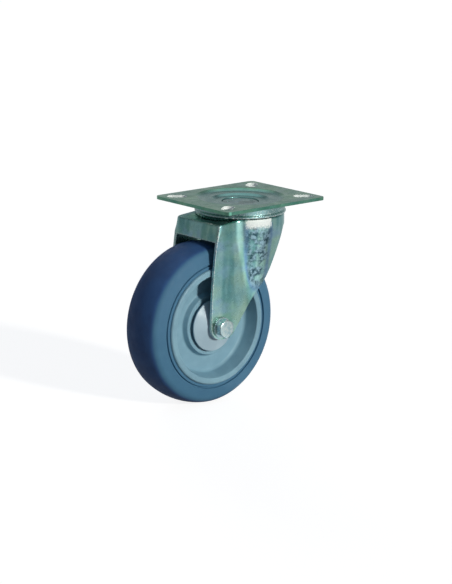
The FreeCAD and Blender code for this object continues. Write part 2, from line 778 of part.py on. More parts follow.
def make_lock_nut():
    """The lock nut: a hexagon with a round collar that holds a plastic insert."""
    body = new_body("lock_nut", on_axle=True)
    hexagon = new_sketch(body, "nut_outline", XZ, offset="-fits.washer_face")
    draw_hexagon(hexagon)
    pad(body, "nut_hexagon", hexagon, "sizes.nut_height", backwards=True)
    chamfer_hexagon(body, "nut_chamfer", "fits.nut_face", "-")
    collar = "sizes.nut_collar_radius"
    turn(body, "collar", XY, [
        Corner("0", "fits.nut_face"),
        Corner(collar, "fits.nut_face"),
        Corner(collar, "fits.collar_face", "sizes.nut_collar_height / 3"),
        Corner("0", "fits.collar_face"),
    ])
    turn(body, "nut_bore", XY, [
        Corner("0", "fits.washer_face"),
        Corner("fits.nut_bore", "fits.washer_face"),
        Corner("fits.nut_bore", "fits.nut_face"),
        Corner("sizes.insert_radius", "fits.nut_face"),
        Corner("sizes.insert_radius", "fits.collar_face"),
        Corner("0", "fits.collar_face"),
    ], kind="PartDesign::Groove")
    return body


def make_nut_insert():
    """The plastic ring in the nut's collar."""
    body = new_body("nut_insert", on_axle=True)
    tube(body, "insert", XY, "fits.nut_bore", "sizes.insert_radius",
         "fits.nut_face", "fits.collar_face - sizes.insert_recess")
    return body


def make_axle_sleeve():
    """The tube that the bolt clamps between the legs."""
    body = new_body("axle_sleeve", on_axle=True)
    tube(body, "sleeve", XY, "fits.sleeve_bore", "fits.sleeve_radius",
         "-fits.fork_inner_half", "fits.fork_inner_half")
    return body


def make_thread_guard(label, sign):
    """A moulded disc that keeps threads off the bearing, with a boss to the leg and a neck to the ring."""
    body = new_body(label, on_axle=True)
    neck = "fits.sleeve_hole + sizes.guard_neck_wall"
    boss = "sizes.guard_boss_radius"
    turn(body, f"{label}_disc", XY, [
        Corner("fits.sleeve_hole", f"{sign}fits.bearing_face"),
        Corner(neck, f"{sign}fits.bearing_face"),
        Corner(neck, f"{sign}fits.guard_back"),
        Corner("sizes.guard_radius", f"{sign}fits.guard_back"),
        Corner("sizes.guard_radius", f"{sign}fits.guard_edge", "sizes.guard_thickness / 2"),
        Corner(boss, f"{sign}fits.guard_face"),
        Corner(f"{boss} - sizes.guard_boss_draft", f"{sign}fits.fork_inner_half"),
        Corner("fits.sleeve_hole", f"{sign}fits.fork_inner_half"),
    ])
    return body


# The wheel and its bearings

def make_bearing_ring(label, inside, outside, sign):
    """A bearing ring with its ball track."""
    body = new_body(label, on_axle=True)
    tube(body, f"{label}_ring", XY, inside, outside, f"{sign}fits.bearing_back", f"{sign}fits.bearing_face")
    race(body, f"{label}_track", XY, "fits.hub_ball_pitch", f"{sign}fits.bearing_middle",
         "fits.hub_race_radius")
    return body


def make_bearing_seals():
    """Thin seals, one on each side of each bearing, held in the outer rings."""
    body = new_body("bearing_seals", on_axle=True)
    body.AllowCompound = True
    inside = "fits.inner_ring_radius + 2 * sizes.slip_clearance"
    thick = "sizes.seal_thickness"
    places = []
    for sign in ("-", ""):
        inward = "+" if sign else "-"
        places.append((f"{sign}fits.bearing_face", f"{sign}fits.bearing_face {inward} {thick}"))
        outward = "-" if sign else "+"
        places.append((f"{sign}fits.bearing_back", f"{sign}fits.bearing_back {outward} {thick}"))
    for index, (first, second) in enumerate(places, start=1):
        tube(body, f"seal_{index}", XY, inside, "fits.outer_ring_inside", first, second)
    return body


def make_wheel_core():
    """The moulded wheel body: hub, web, dished faces and a rim with a rib that locks the tyre."""
    body = new_body("wheel_core", on_axle=True)
    edge = "sizes.core_edge"
    rim, web = "sizes.rim_half_width", "sizes.web_half"
    half = [
        Corner("sizes.hub_shoulder_radius", "fits.bearing_back"),
        Corner("sizes.bearing_outer_radius", "fits.bearing_back"),
        Corner("sizes.bearing_outer_radius", "fits.bearing_face"),
        Corner("sizes.hub_recess_radius", "fits.bearing_face"),
        Corner("sizes.hub_recess_radius", "sizes.hub_half"),
        Corner("sizes.hub_face_radius", "sizes.hub_half", edge),
        Corner("sizes.hub_base_radius", web, "sizes.web_rounding / 2"),
        Corner("fits.recess_radius", web, "sizes.web_rounding"),
        Corner("fits.rim_face_radius", rim, edge),
        Corner("fits.rim_radius", rim, edge),
        Corner("fits.rim_radius", "sizes.rib_half"),
        Corner("fits.rib_radius", "sizes.rib_half"),
    ]
    turn(body, "core", XY, both_sides(half))
    return body


def make_tyre():
    """The rubber tyre: crowned tread, round shoulders and a fine line round each sidewall."""
    body = new_body("tyre", on_axle=True)
    side = "sizes.sidewall_half"
    line = "fits.line_radius"
    upper = [
        Corner("fits.rib_radius", "sizes.rib_half"),
        Corner("fits.rim_radius", "sizes.rib_half"),
        Corner("fits.rim_radius", side),
        Corner(f"{line} - sizes.line_width", side),
        Corner(f"{line} - sizes.line_width / 2", f"{side} - sizes.line_depth"),
        Corner(line, side),
        Corner("fits.shoulder_radius", "sizes.shoulder_half"),
    ]
    lower = [corner.mirrored() for corner in reversed(upper)]
    upper[-1].arc, upper[-1].right = "sizes.tread_crown_radius", True
    turn(body, "tread_and_sides", XY, upper + lower)
    shoulder = number("fits.shoulder_radius")
    round_edges(body, "shoulders", "sizes.shoulder_rounding",
                lambda edge: isinstance(edge.Curve, Part.Circle) and abs(edge.Curve.Radius - shoulder) < 1e-6)
    return body


def make_all():
    """Every piece, from the plate down to the wheel."""
    upper = ("sizes.upper_ball_radius", "sizes.upper_ball_pitch", "-fits.upper_ball_depth")
    lower = ("sizes.lower_ball_radius", "sizes.lower_ball_pitch", "-fits.lower_ball_depth")
    pieces = [
        make_top_plate(),
        make_dust_ring(),
        make_king_pin(),
        make_spacer_bush(),
        make_lower_cup(),
        ball_row("upper_balls", *upper, "sizes.upper_ball_count"),
        ball_row("lower_balls", *lower, "sizes.lower_ball_count"),
        make_fork(),
        make_axle_bolt(),
        make_axle_washers(),
        make_lock_nut(),
        make_nut_insert(),
        make_axle_sleeve(),
        make_wheel_core(),
        make_tyre(),
        make_bearing_seals(),
    ]
    for side, sign in (("left", ""), ("right", "-")):
        pieces += [
            make_thread_guard(f"thread_guard_{side}", sign),
            make_bearing_ring(f"inner_ring_{side}", "fits.sleeve_hole", "fits.inner_ring_radius", sign),
            make_bearing_ring(f"outer_ring_{side}", "fits.outer_ring_inside",
                              "sizes.bearing_outer_radius", sign),
            ball_row(f"hub_balls_{side}", "sizes.hub_ball_radius", "fits.hub_ball_pitch",
                     f"{sign}fits.bearing_middle", "sizes.hub_ball_count", "Y_Axis", on_axle=True),
        ]
    return pieces


def check_and_write(pieces):
    """Stops at anything that didn't build, then writes one file a piece."""
    doc.recompute()
    for item in doc.Objects:
        assert not {"Invalid", "Error"} & set(item.State), f"{item.Label} is {item.State}"
    for piece in pieces:
        assert not piece.Shape.isNull() and piece.Shape.isValid(), f"{piece.Label} has no sound shape"
    os.makedirs("parts", exist_ok=True)
    for piece in pieces:
        piece.Shape.exportStep(f"parts/{piece.Label}.step")
        print(f"{piece.Label}: {len(piece.Shape.Solids)} solid(s), {piece.Shape.Volume:.1f} mm3")


check_and_write(make_all())
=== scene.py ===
"""Looks of a swivel castor with a top plate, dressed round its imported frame.

Every object is in metres, in the frame's own axes: +Z up out of the plate, +X the way the castor
rolls, +Y along the axle. Sizes in the classes are millimetres, and MM turns them into metres.
"""

import bisect
import json
import logging
import math
from collections.abc import Callable, Iterable, Sequence
from dataclasses import dataclass
from enum import Enum

import bmesh
import bpy
from mathutils import Matrix, Vector

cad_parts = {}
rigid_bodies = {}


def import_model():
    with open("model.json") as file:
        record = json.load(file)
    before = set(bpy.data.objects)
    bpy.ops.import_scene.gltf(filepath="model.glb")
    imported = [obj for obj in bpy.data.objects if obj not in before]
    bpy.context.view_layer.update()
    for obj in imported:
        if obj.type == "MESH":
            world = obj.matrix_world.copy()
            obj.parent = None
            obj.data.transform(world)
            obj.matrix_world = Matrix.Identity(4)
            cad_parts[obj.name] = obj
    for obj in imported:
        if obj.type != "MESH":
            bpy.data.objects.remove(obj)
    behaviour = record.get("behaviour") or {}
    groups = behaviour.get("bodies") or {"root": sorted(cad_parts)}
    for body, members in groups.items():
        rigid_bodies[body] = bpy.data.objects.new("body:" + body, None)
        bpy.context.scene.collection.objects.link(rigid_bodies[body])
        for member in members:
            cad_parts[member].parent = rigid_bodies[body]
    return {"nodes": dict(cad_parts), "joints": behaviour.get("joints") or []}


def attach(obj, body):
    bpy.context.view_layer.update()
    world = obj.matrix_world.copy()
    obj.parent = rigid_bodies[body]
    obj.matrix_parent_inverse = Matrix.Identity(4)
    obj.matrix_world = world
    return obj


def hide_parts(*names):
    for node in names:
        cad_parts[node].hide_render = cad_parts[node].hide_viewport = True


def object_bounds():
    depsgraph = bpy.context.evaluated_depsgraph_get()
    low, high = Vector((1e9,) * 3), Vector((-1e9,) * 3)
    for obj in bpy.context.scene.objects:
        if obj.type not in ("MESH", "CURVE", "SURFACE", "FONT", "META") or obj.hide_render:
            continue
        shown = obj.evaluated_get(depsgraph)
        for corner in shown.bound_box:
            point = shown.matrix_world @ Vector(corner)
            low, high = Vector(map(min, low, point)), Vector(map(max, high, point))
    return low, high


MM = 0.001
FLAT_HOLD = 0.12  # mm from a rounding to the point that keeps the straight side beside it flat
SEAM = 2e-6  # metres within which two corners are one
LOG = logging.getLogger("castor")

for item in list(bpy.data.objects):
    bpy.data.objects.remove(item)
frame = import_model()
CAD_BOX = [list(corner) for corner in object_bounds()]

Point = tuple[float, float]
Span = tuple[float, float]
Rows = list[list[Vector]]


class Axis(Enum):
    """The two lines that pieces turn round."""

    SWIVEL = "swivel"
    AXLE = "wheel_spin"

    def place(self, radius: float, along: float, angle: float) -> Vector:
        """A point round the axis.

        Args:
            radius: Distance from the axis, in mm.
            along: Distance along the axis, in mm.
            angle: Turn round the axis, in radians.

        Returns:
            The point, in metres.
        """
        across, aside = radius * math.cos(angle), radius * math.sin(angle)
        if self is Axis.SWIVEL:
            return Vector((across, aside, along)) * MM
        return self.centre() + Vector((across, along, aside)) * MM

    def centre(self) -> Vector:
        """The joint's place on the axis, in metres."""
        joint = next(joint for joint in frame["joints"] if joint["name"] == self.value)
        return Vector(joint["pos_m"])


@dataclass(frozen=True)
class Corner:
    """A corner of a section: its place in mm, and the radius of the arc that rounds it."""

    across: float
    up: float
    rounding: float = 0.15


@dataclass(frozen=True)
class Race:
    """A ball row of the swivel head and the round tracks that it runs in. All sizes are mm.

    The pitch is the row's radius, the level the height of its balls' centres, the ball a ball's
    radius and the groove that of the tracks.
    """

    pitch: float
    level: float
    ball: float
    groove: float
    count: int = 20

    def track(self, floor: float) -> list[Corner]:
        """The corners of a track that is pressed into a flat floor, from the inside outwards.

        Args:
            floor: The height of the floor, in mm.

        Returns:
            The corners, which aren't rounded.
        """
        steps = 8
        half = math.acos(abs(floor - self.level) / self.groove)
        side = math.copysign(1, floor - self.level)
        corners = []
        for i in range(steps + 1):
            angle = half * (2 * i / steps - 1)
            across = self.pitch + self.groove * math.sin(angle)
            corners.append(Corner(across, self.level + side * self.groove * math.cos(angle), 0))
        return corners


UPPER_RACE = Race(pitch=27, level=-7.84, ball=4, groove=4.04)
LOWER_RACE = Race(pitch=20, level=-16.42, ball=3, groove=3.04)


def linear(hex_colour: str) -> tuple[float, float, float, float]:
    """Turns an sRGB hex value, such as 6a947b, into linear colour with full alpha."""
    parts = [int(hex_colour[i:i + 2], 16) / 255 for i in (0, 2, 4)]
    return (*[c / 12.92 if c <= 0.04045 else ((c + 0.055) / 1.055) ** 2.4 for c in parts], 1.0)


def blend(low: float, high: float, share: float) -> float:
    """The number that lies a share of the way from low to high."""
    return low + (high - low) * share


def smooth_step(low: float, high: float, value: float) -> float:
    """Rises smoothly from 0 at low to 1 at high."""
    share = min(max((value - low) / (high - low), 0), 1)
    return share * share * (3 - 2 * share)


def smooth_max(first: float, second: float, width: float) -> float:
    """The larger of two numbers, with the bend between them rounded over a width."""
    overlap = max(width - abs(first - second), 0) / width
    return max(first, second) + overlap * overlap * width / 4


def smooth_min(first: float, second: float, width: float) -> float:
    """The smaller of two numbers, with the bend between them rounded over a width."""
    return -smooth_max(-first, -second, width)


def arc_points(centre: Vector, start: Vector, stop: Vector, step: float = 9.0) -> list[Vector]:
    """Points on the short arc from start to stop, both included.

    Args:
        centre: The arc's centre.
        start: Where it starts.
        stop: Where it ends.
        step: The largest turn between points, in degrees.

    Returns:
        The points, in order.
    """
    first, last = start - centre, stop - centre
    turn = first.angle_signed(last)
    count = max(2, math.ceil(abs(math.degrees(turn)) / step))
    return [centre + Matrix.Rotation(-turn * i / count, 2) @ first for i in range(count + 1)]


def rounded(corners: Sequence[Corner], closed: bool = True) -> list[Point]:
    """Rounds the corners of an outline, and holds its straight sides flat.

    Args:
        corners: The outline's corners.
        closed: Whether the last corner joins the first.

    Returns:
        The outline's points, in mm.
    """
    nearly_straight, most_of_side = math.radians(89), 0.45
    places = [Vector((c.across, c.up)) for c in corners]
    points: list[Vector] = []
    for i, corner in enumerate(corners):
        here = places[i]
        if not closed and i in (0, len(corners) - 1):
            points.append(here)
            continue
        before, after = places[i - 1] - here, places[(i + 1) % len(places)] - here
        half = before.angle(after) / 2
        if not corner.rounding or half > nearly_straight:
            points.append(here)
            continue
        reach = corner.rounding / math.tan(half)
        reach = min(reach, most_of_side * before.length, most_of_side * after.length)
        radius = reach * math.tan(half)
        before.normalize()
        after.normalize()
        centre = here + (before + after).normalized() * math.hypot(reach, radius)
        arc = arc_points(centre, here + before * reach, here + after * reach)
        points += [arc[0] + before * FLAT_HOLD, *arc, arc[-1] + after * FLAT_HOLD]
    return [(p.x, p.y) for p in points]


def finished(name: str, mesh: bpy.types.Mesh) -> bpy.types.Object:
    """Makes an object of a mesh that is already in its place, with smooth shading.

    Args:
        name: The piece's name.
        mesh: Its mesh, in metres.

    Returns:
        The object, at the origin.
    """
    mesh.name = name
    mesh.shade_smooth()
    piece = bpy.data.objects.new(name, mesh)
    bpy.context.scene.collection.objects.link(piece)
    return piece


def sewn(name: str, faces: Iterable[Sequence[Vector]]) -> bpy.types.Object:
    """Sews faces into one closed mesh with outward normals, and fills what they leave open.

    Args:
        name: The piece's name.
        faces: The corners of each face, in metres.

    Returns:
        The object.
    """
    builder = bmesh.new()
    for corners in faces:
        builder.faces.new([builder.verts.new(corner) for corner in corners])
    bmesh.ops.remove_doubles(builder, verts=builder.verts, dist=SEAM)
    bmesh.ops.dissolve_degenerate(builder, dist=SEAM / 10, edges=builder.edges)
    open_edges = [edge for edge in builder.edges if edge.is_boundary]
    patches = bmesh.ops.holes_fill(builder, edges=open_edges)["faces"]
    bmesh.ops.triangulate(builder, faces=patches)
    bmesh.ops.recalc_face_normals(builder, faces=builder.faces)
    mesh = bpy.data.meshes.new(name)
    builder.to_mesh(mesh)
    builder.free()
    return finished(name, mesh)


def grid_faces(rows: Rows) -> Iterable[list[Vector]]:
    """The quads between the rows of a grid of points."""
    for upper, lower in zip(rows, rows[1:]):
        for i in range(min(len(upper), len(lower)) - 1):
            yield [upper[i], lower[i], lower[i + 1], upper[i + 1]]


def turned(name: str, section: Sequence[Point], axis: Axis, steps: int = 144) -> bpy.types.Object:
    """Turns a closed section right round an axis.

    Args:
        name: The piece's name.
        section: Points of radius and place along the axis, in mm.
        axis: The axis.
        steps: How many steps make the whole turn.

    Returns:
        The object.
    """
    loop = [*section, section[0]]
    angles = [2 * math.pi * (i % steps) / steps for i in range(steps + 1)]
    rows = [[axis.place(radius, along, angle) for angle in angles] for radius, along in loop]
    closed = (face for face in grid_faces(rows) if (face[0] - face[1]).length > 1e-9)
    return sewn(name, closed)


def prism(name: str, outline: Sequence[Vector], way: Vector) -> bpy.types.Object:
    """A block between a flat outline and its copy a way off, both in metres."""
    far = [corner + way for corner in outline]
    sides = [[outline[i - 1], outline[i], far[i], far[i - 1]] for i in range(len(outline))]
    return sewn(name, [list(outline), far, *sides])


def plain_mesh(piece: bpy.types.Object) -> None:
    """Turns a piece with its modifiers into a plain mesh without them."""
    graph = bpy.context.evaluated_depsgraph_get()
    mesh = bpy.data.meshes.new_from_object(piece.evaluated_get(graph))
    piece.modifiers.clear()
    piece.data = mesh


def carve(piece: bpy.types.Object, tool: bpy.types.Object, operation: str = "DIFFERENCE") -> None:
    """Cuts a piece with a tool, joins it to it or keeps what they share, and removes the tool.

    Args:
        piece: The piece that is changed.
        tool: The closed mesh that changes it.
        operation: DIFFERENCE, UNION or INTERSECT.
    """
    modifier = piece.modifiers.new("carve", "BOOLEAN")
    modifier.operation = operation
    modifier.solver = "EXACT"
    modifier.object = tool
    plain_mesh(piece)
    bpy.data.objects.remove(tool)


def soften(piece: bpy.types.Object, width: float, angle: float) -> None:
    """Rounds a piece's sharp edges, and keeps its flat faces flat in shading.

    Args:
        piece: The piece.
        width: The rounding's width, in mm.
        angle: The least turn of an edge that is rounded, in degrees.
    """
    bevel = piece.modifiers.new("edges", "BEVEL")
    bevel.width = width * MM
    bevel.segments = 2
    bevel.limit_method = "ANGLE"
    bevel.angle_limit = math.radians(angle)
    plain_mesh(piece)
    keep_flats(piece)


def keep_flats(piece: bpy.types.Object) -> None:
    """Shades a piece smoothly, with its large faces left flat and the roundings taking the turn."""
    piece.data.shade_smooth()
    weights = piece.modifiers.new("flats", "WEIGHTED_NORMAL")
    weights.mode = "FACE_AREA"
    weights.keep_sharp = False
    plain_mesh(piece)


def join(first: bpy.types.Object, *others: bpy.types.Object) -> bpy.types.Object:
    """Puts the shells of several pieces into the first one's mesh."""
    builder = bmesh.new()
    for piece in (first, *others):
        builder.from_mesh(piece.data)
    builder.to_mesh(first.data)
    builder.free()
    for piece in others:
        bpy.data.objects.remove(piece)
    first.data.shade_smooth()
    return first


class Wiring:
    """A node tree that nodes are added to."""

    def __init__(self, tree: bpy.types.NodeTree) -> None:
        """Starts with an empty tree."""
        tree.nodes.clear()
        self.tree = tree

    def add(self, kind: str, inputs: dict | None = None, output: int | str = 0,
            **settings) -> bpy.types.NodeSocket | None:
        """Adds a node with its settings, and values or links for its inputs.

        Args:
            kind: The node's type.
            inputs: For each input's name or number, a value or the output that feeds it.
            output: The name or number of the output that is wanted.
            settings: The node's own properties.

        Returns:
            That output, or None if the node has no outputs.
        """
        node = self.tree.nodes.new(kind)
        for name, value in settings.items():
            setattr(node, name, value)
        for key, value in (inputs or {}).items():
            if isinstance(value, bpy.types.NodeSocket):
                self.tree.links.new(value, node.inputs[key])
            else:
                node.inputs[key].default_value = value
        return node.outputs[output] if node.outputs else None


class Coating(Wiring):
    """A node material laid up coat by coat, with patterns in the object's own coordinates."""

    def __init__(self, name: str, colour: str) -> None:
        """Starts a material with its shader, the object's coordinates and the first coat."""
        self.material = bpy.data.materials.new(name)
        self.material.use_nodes = True
        super().__init__(self.material.node_tree)
        surface = self.add("ShaderNodeBsdfPrincipled")
        self.shader = surface.node
        self.add("ShaderNodeOutputMaterial", {"Surface": surface})
        self.place = self.add("ShaderNodeTexCoord", output="Object")
        self.colour = linear(colour)

    def pattern(self, size: float, detail: float, between: Span | None = None, to: Span = (0, 1),
                stretch: Point | None = None, roughness: float = 0.55) -> bpy.types.NodeSocket:
        """A soft pattern of a real size.

        Args:
            size: The size of its patches, in mm.
            detail: How many finer layers it has.
            between: The two levels of the pattern that it is faded between. None leaves it raw,
                mostly from 0.3 to 0.7.
            to: What those levels become.
            stretch: How much longer the patches are along X and along Z.
            roughness: How strong the finer layers are.

        Returns:
            The pattern.
        """
        place = self.place
        if stretch:
            scale = (1 / stretch[0], 1.0, 1 / stretch[1])
            place = self.add("ShaderNodeMapping", {"Vector": place, "Scale": scale})
        raw = self.add("ShaderNodeTexNoise", {
            "Vector": place, "Scale": 1 / (size * MM), "Detail": detail, "Roughness": roughness,
        }, "Fac")
        if not between:
            return raw
        inputs = {"Value": raw, "From Min": between[0], "From Max": between[1],
                  "To Min": to[0], "To Max": to[1]}
        return self.add("ShaderNodeMapRange", inputs, interpolation_type="SMOOTHSTEP")

    def crystals(self, size: float, contrast: float) -> bpy.types.NodeSocket:
        """A number up to the contrast for each crystal, of a real size in mm."""
        inputs = {"Vector": self.place, "Scale": 1 / (size * MM)}
        cells = self.add("ShaderNodeTexVoronoi", inputs, "Color")
        shade = self.add("ShaderNodeSeparateColor", {"Color": cells})
        return self.add("ShaderNodeMapRange", {"Value": shade, "To Max": contrast},
                        interpolation_type="SMOOTHSTEP")

    def weighed(self, *terms: tuple, start: float = 0.0) -> bpy.types.NodeSocket:
        """Adds up patterns.

        Args:
            terms: Each pattern with its weight, which is a number or another pattern.
            start: What they are added to.

        Returns:
            The sum.
        """
        total = start
        for pattern, weight in terms:
            total = self.add("ShaderNodeMath", {0: pattern, 1: weight, 2: total},
                             operation="MULTIPLY_ADD")
        return total

    def lay(self, colour: str | bpy.types.NodeSocket, share: float | bpy.types.NodeSocket,
            blend_type: str = "MIX") -> None:
        """Lays a colour over the coats so far.

        Args:
            colour: The colour, a hex value or a pattern.
            share: How much of it shows, a pattern or a number.
            blend_type: How it is laid over them.
        """
        over = linear(colour) if isinstance(colour, str) else colour
        self.colour = self.add("ShaderNodeMix", {0: share, 6: self.colour, 7: over}, 2,
                               data_type="RGBA", blend_type=blend_type)

    def raise_surface(self, height: bpy.types.NodeSocket, depth: float, strength: float) -> None:
        """Gives the surface a relief of a real depth in mm."""
        inputs = {"Height": height, "Distance": depth * MM, "Strength": strength}
        self.tree.links.new(self.add("ShaderNodeBump", inputs), self.shader.inputs["Normal"])

    def dress(self, **values) -> bpy.types.Material:
        """Sets the shader's colour and its other inputs, named with underscores for spaces."""
        for name, value in {"Base_Color": self.colour, **values}.items():
            socket = self.shader.inputs[name.replace("_", " ")]
            if isinstance(value, bpy.types.NodeSocket):
                self.tree.links.new(value, socket)
            else:
                socket.default_value = value
        return self.material


@dataclass(frozen=True)
class PassivatedZinc:
    """Pressed steel, barrel zinc plated and blue passivated: satin, clouded, green and blue.

    Sizes are mm. Streaks says how dark the runs of the bath are, and satin is the roughness.
    """

    name: str
    deep: str
    pale: str
    cast: str
    cloud: float = 22.0
    run: float = 13.0
    crystal: float = 1.6
    peel: float = 2.2
    pit: float = 0.35
    flake: float = 3.4
    patch: float = 7.0
    nick: float = 1.1
    satin: float = 0.27
    streaks: float = 0.6

    def material(self) -> bpy.types.Material:
        """Builds the finish: clouds, zinc crystals, and the faint orange peel of the pressing."""
        coat = Coating(self.name, self.deep)
        drawn, stretch, edge = (
            coat.add("ShaderNodeAttribute", output="Fac", attribute_name=name)
            for name in ("drawn", "stretch", "edge")
        )
        # The passivate dries in clouds and runs, and turns blue and lilac where it is thick.
        coat.lay(self.pale, coat.pattern(self.cloud, 4, (0.36, 0.66)))
        runs = coat.pattern(self.run, 2, (0.45, 0.62), (0, self.streaks), stretch=(1, 8))
        coat.lay(self.deep, runs, "MULTIPLY")
        bloom = coat.pattern(self.cloud * 0.6, 2, (0.5, 0.72), (0, 0.6), stretch=(1.8, 1))
        coat.lay(self.cast, bloom)
        coat.lay(self.cast, drawn)
        # Zinc crystals of a tenth of a millimetre are drawn larger, so that the sheen breaks up.
        coat.lay("ffffff", coat.crystals(self.crystal, 0.1), "OVERLAY")
        # Where the press stretches the sheet the plating is mottled; its dark and pale flecks and
        # the blue band round them are partly a painted reflection.
        flakes = coat.pattern(self.flake, 6, (0.42, 0.6), roughness=0.68)
        flaked = coat.weighed((stretch, coat.pattern(self.patch, 2, (0.36, 0.58), (0.25, 0.95))))
        border_and_reflection = coat.weighed((stretch, 2.2), (coat.weighed((stretch, stretch)), -2.2))
        coat.lay("6890cc", border_and_reflection)
        mottle_and_reflection = {0: flakes, 6: linear("264250"), 7: linear("8aaab8")}
        coat.lay(coat.add("ShaderNodeMix", mottle_and_reflection, 2, data_type="RGBA"), flaked)
        # Worn edges show as short matt white nicks; the same white is a painted highlight on the
        # bulges' tops, the slots' walls and the dust ring's lip.
        nicks = coat.pattern(self.nick, 4, (0.5, 0.6), (0.15, 0.95), roughness=0.7)
        bright = coat.add("ShaderNodeMath", {0: edge, 1: nicks}, operation="MULTIPLY",
                          use_clamp=True)
        coat.lay("f0f7f6", bright)
        # The satin varies in patches, and the orange peel and the fine pits soften what it mirrors.
        levels = (self.satin - 0.06, self.satin + 0.08)
        satin = coat.pattern(self.cloud * 0.3, 5, (0.3, 0.7), levels)
        relief = coat.weighed((coat.pattern(self.peel, 3), 1), (coat.pattern(self.pit, 2), 0.35),
                              (coat.weighed((flaked, flakes)), 4))
        coat.raise_surface(relief, 0.03, 0.6)
        # Where white is painted the metal turns matt, so that the painted highlights stay white
        # under any lamp.
        return coat.dress(Metallic=coat.weighed((bright, -0.85), start=1),
                          Roughness=coat.weighed((satin, 1), (bright, 0.28)))


@dataclass(frozen=True)
class BrightZinc:
    """Cold formed steel, bright zinc plated: smoother and whiter than the pressings."""

    name: str
    deep: str = "9dbcc4"
    pale: str = "c4d6d6"
    cloud: float = 3.5
    haze: float = 1.8
    mark: float = 0.5

    def material(self) -> bpy.types.Material:
        """Builds the finish: a light cloud and the fine drag marks of the forming dies."""
        coat = Coating(self.name, self.deep)
        # The dies leave a tight surface, so it shows whiter and sharper lights than the pressings.
        coat.lay(self.pale, coat.pattern(self.cloud, 4, (0.35, 0.65)))
        # Drag marks are finer than this, and drawn coarser so that they break up the glints.
        coat.raise_surface(coat.pattern(self.mark, 3, stretch=(1, 5)), 0.015, 0.5)
        roughness = coat.pattern(self.haze, 4, (0.3, 0.7), (0.2, 0.36))
        return coat.dress(Metallic=1.0, Roughness=roughness)


@dataclass(frozen=True)
class GroundSteel:
    """Hardened and ground bearing steel: near mirror, with fine grinding lines."""

    name: str
    colour: str = "c4c6c8"
    roughness: float = 0.12
    haze: str = "9fa3a6"
    cloud: float = 4.0
    line: float = 0.3

    def material(self) -> bpy.types.Material:
        """Builds the finish: an even grey with grinding lines too fine to feel."""
        coat = Coating(self.name, self.colour)
        # Ground steel mirrors what is round it, and only faint clouds of grey tell it from chrome.
        coat.lay(self.haze, coat.pattern(self.cloud, 2, (0.4, 0.6), (0, 0.3)))
        # The lines are a few hundredths of a millimetre apart, and drawn coarser so that they show.
        coat.raise_surface(coat.pattern(self.line, 2, stretch=(8, 1)), 0.004, 0.4)
        return coat.dress(Metallic=1.0, Roughness=self.roughness)


@dataclass(frozen=True)
class MouldedPlastic:
    """Injection moulded polypropylene or polyamide: even colour, waxy sheen, finely sparked."""

    name: str
    colour: str
    shade: str
    roughness: float = 0.42
    flow: float = 14.0
    spark: float = 0.35
    wax: float = 5.0

    def material(self) -> bpy.types.Material:
        """Builds the finish: faint flow clouds and the grain of the spark-eroded mould."""
        coat = Coating(self.name, self.shade)
        # The melt sets in one even colour, with faint clouds where it flowed.
        coat.lay(self.colour, coat.pattern(self.flow, 3, (0.35, 0.65)))
        # The mould's grain is finer than this, and drawn coarser so that it breaks up the sheen.
        coat.raise_surface(coat.pattern(self.spark, 2), 0.02, 0.35)
        # Wax at the surface gives a soft sheen, a little stronger in patches.
        levels = (self.roughness - 0.04, self.roughness + 0.06)
        waxy = coat.pattern(self.wax, 3, (0.3, 0.7), levels)
        return coat.dress(Roughness=waxy, IOR=1.49)


@dataclass(frozen=True)
class TyreRubber:
    """Compression moulded elastic rubber: deep blue on the tread, painted darker there as shade,
    and a pale bloom on the sides.
    """

    name: str
    # The tread's two blues are darker than the side's, partly as painted shade.
    tread: str = "34598c"
    worn: str = "2f5080"
    side: str = "44708f"
    bloom: str = "50809c"
    bloom_size: float = 16.0
    wear_size: float = 20.0
    sheen_size: float = 6.0

    def material(self) -> bpy.types.Material:
        """Builds the finish: the tread's deep blue with painted shade, the sides' bloom and the
        mould's matt grain.
        """
        coat = Coating(self.name, self.side)
        # Wax comes out of the rubber and leaves a paler bloom in patches on the sides.
        coat.lay(self.bloom, coat.pattern(self.bloom_size, 4, (0.4, 0.7), (0, 0.35)))
        # The tread carries no bloom, so it shows the rubber's own deep blue, and it is painted
        # darker still as shade.
        wear = coat.pattern(self.wear_size, 4, (0.35, 0.65))
        cover = {0: wear, 6: linear(self.tread), 7: linear(self.worn)}
        tread = coat.add("ShaderNodeAttribute", output="Fac", attribute_name="tread")
        coat.lay(coat.add("ShaderNodeMix", cover, 2, data_type="RGBA"), tread)
        # The mould's grain, drawn coarser than it is, keeps the rubber matt.
        grain = coat.weighed((coat.pattern(0.4, 2), 1), (coat.pattern(3, 2), 1))
        coat.raise_surface(grain, 0.03, 0.35)
        roughness = coat.pattern(self.sheen_size, 3, (0.3, 0.7), (0.5, 0.62))
        return coat.dress(Roughness=roughness, IOR=1.52, Specular_IOR_Level=0.3)


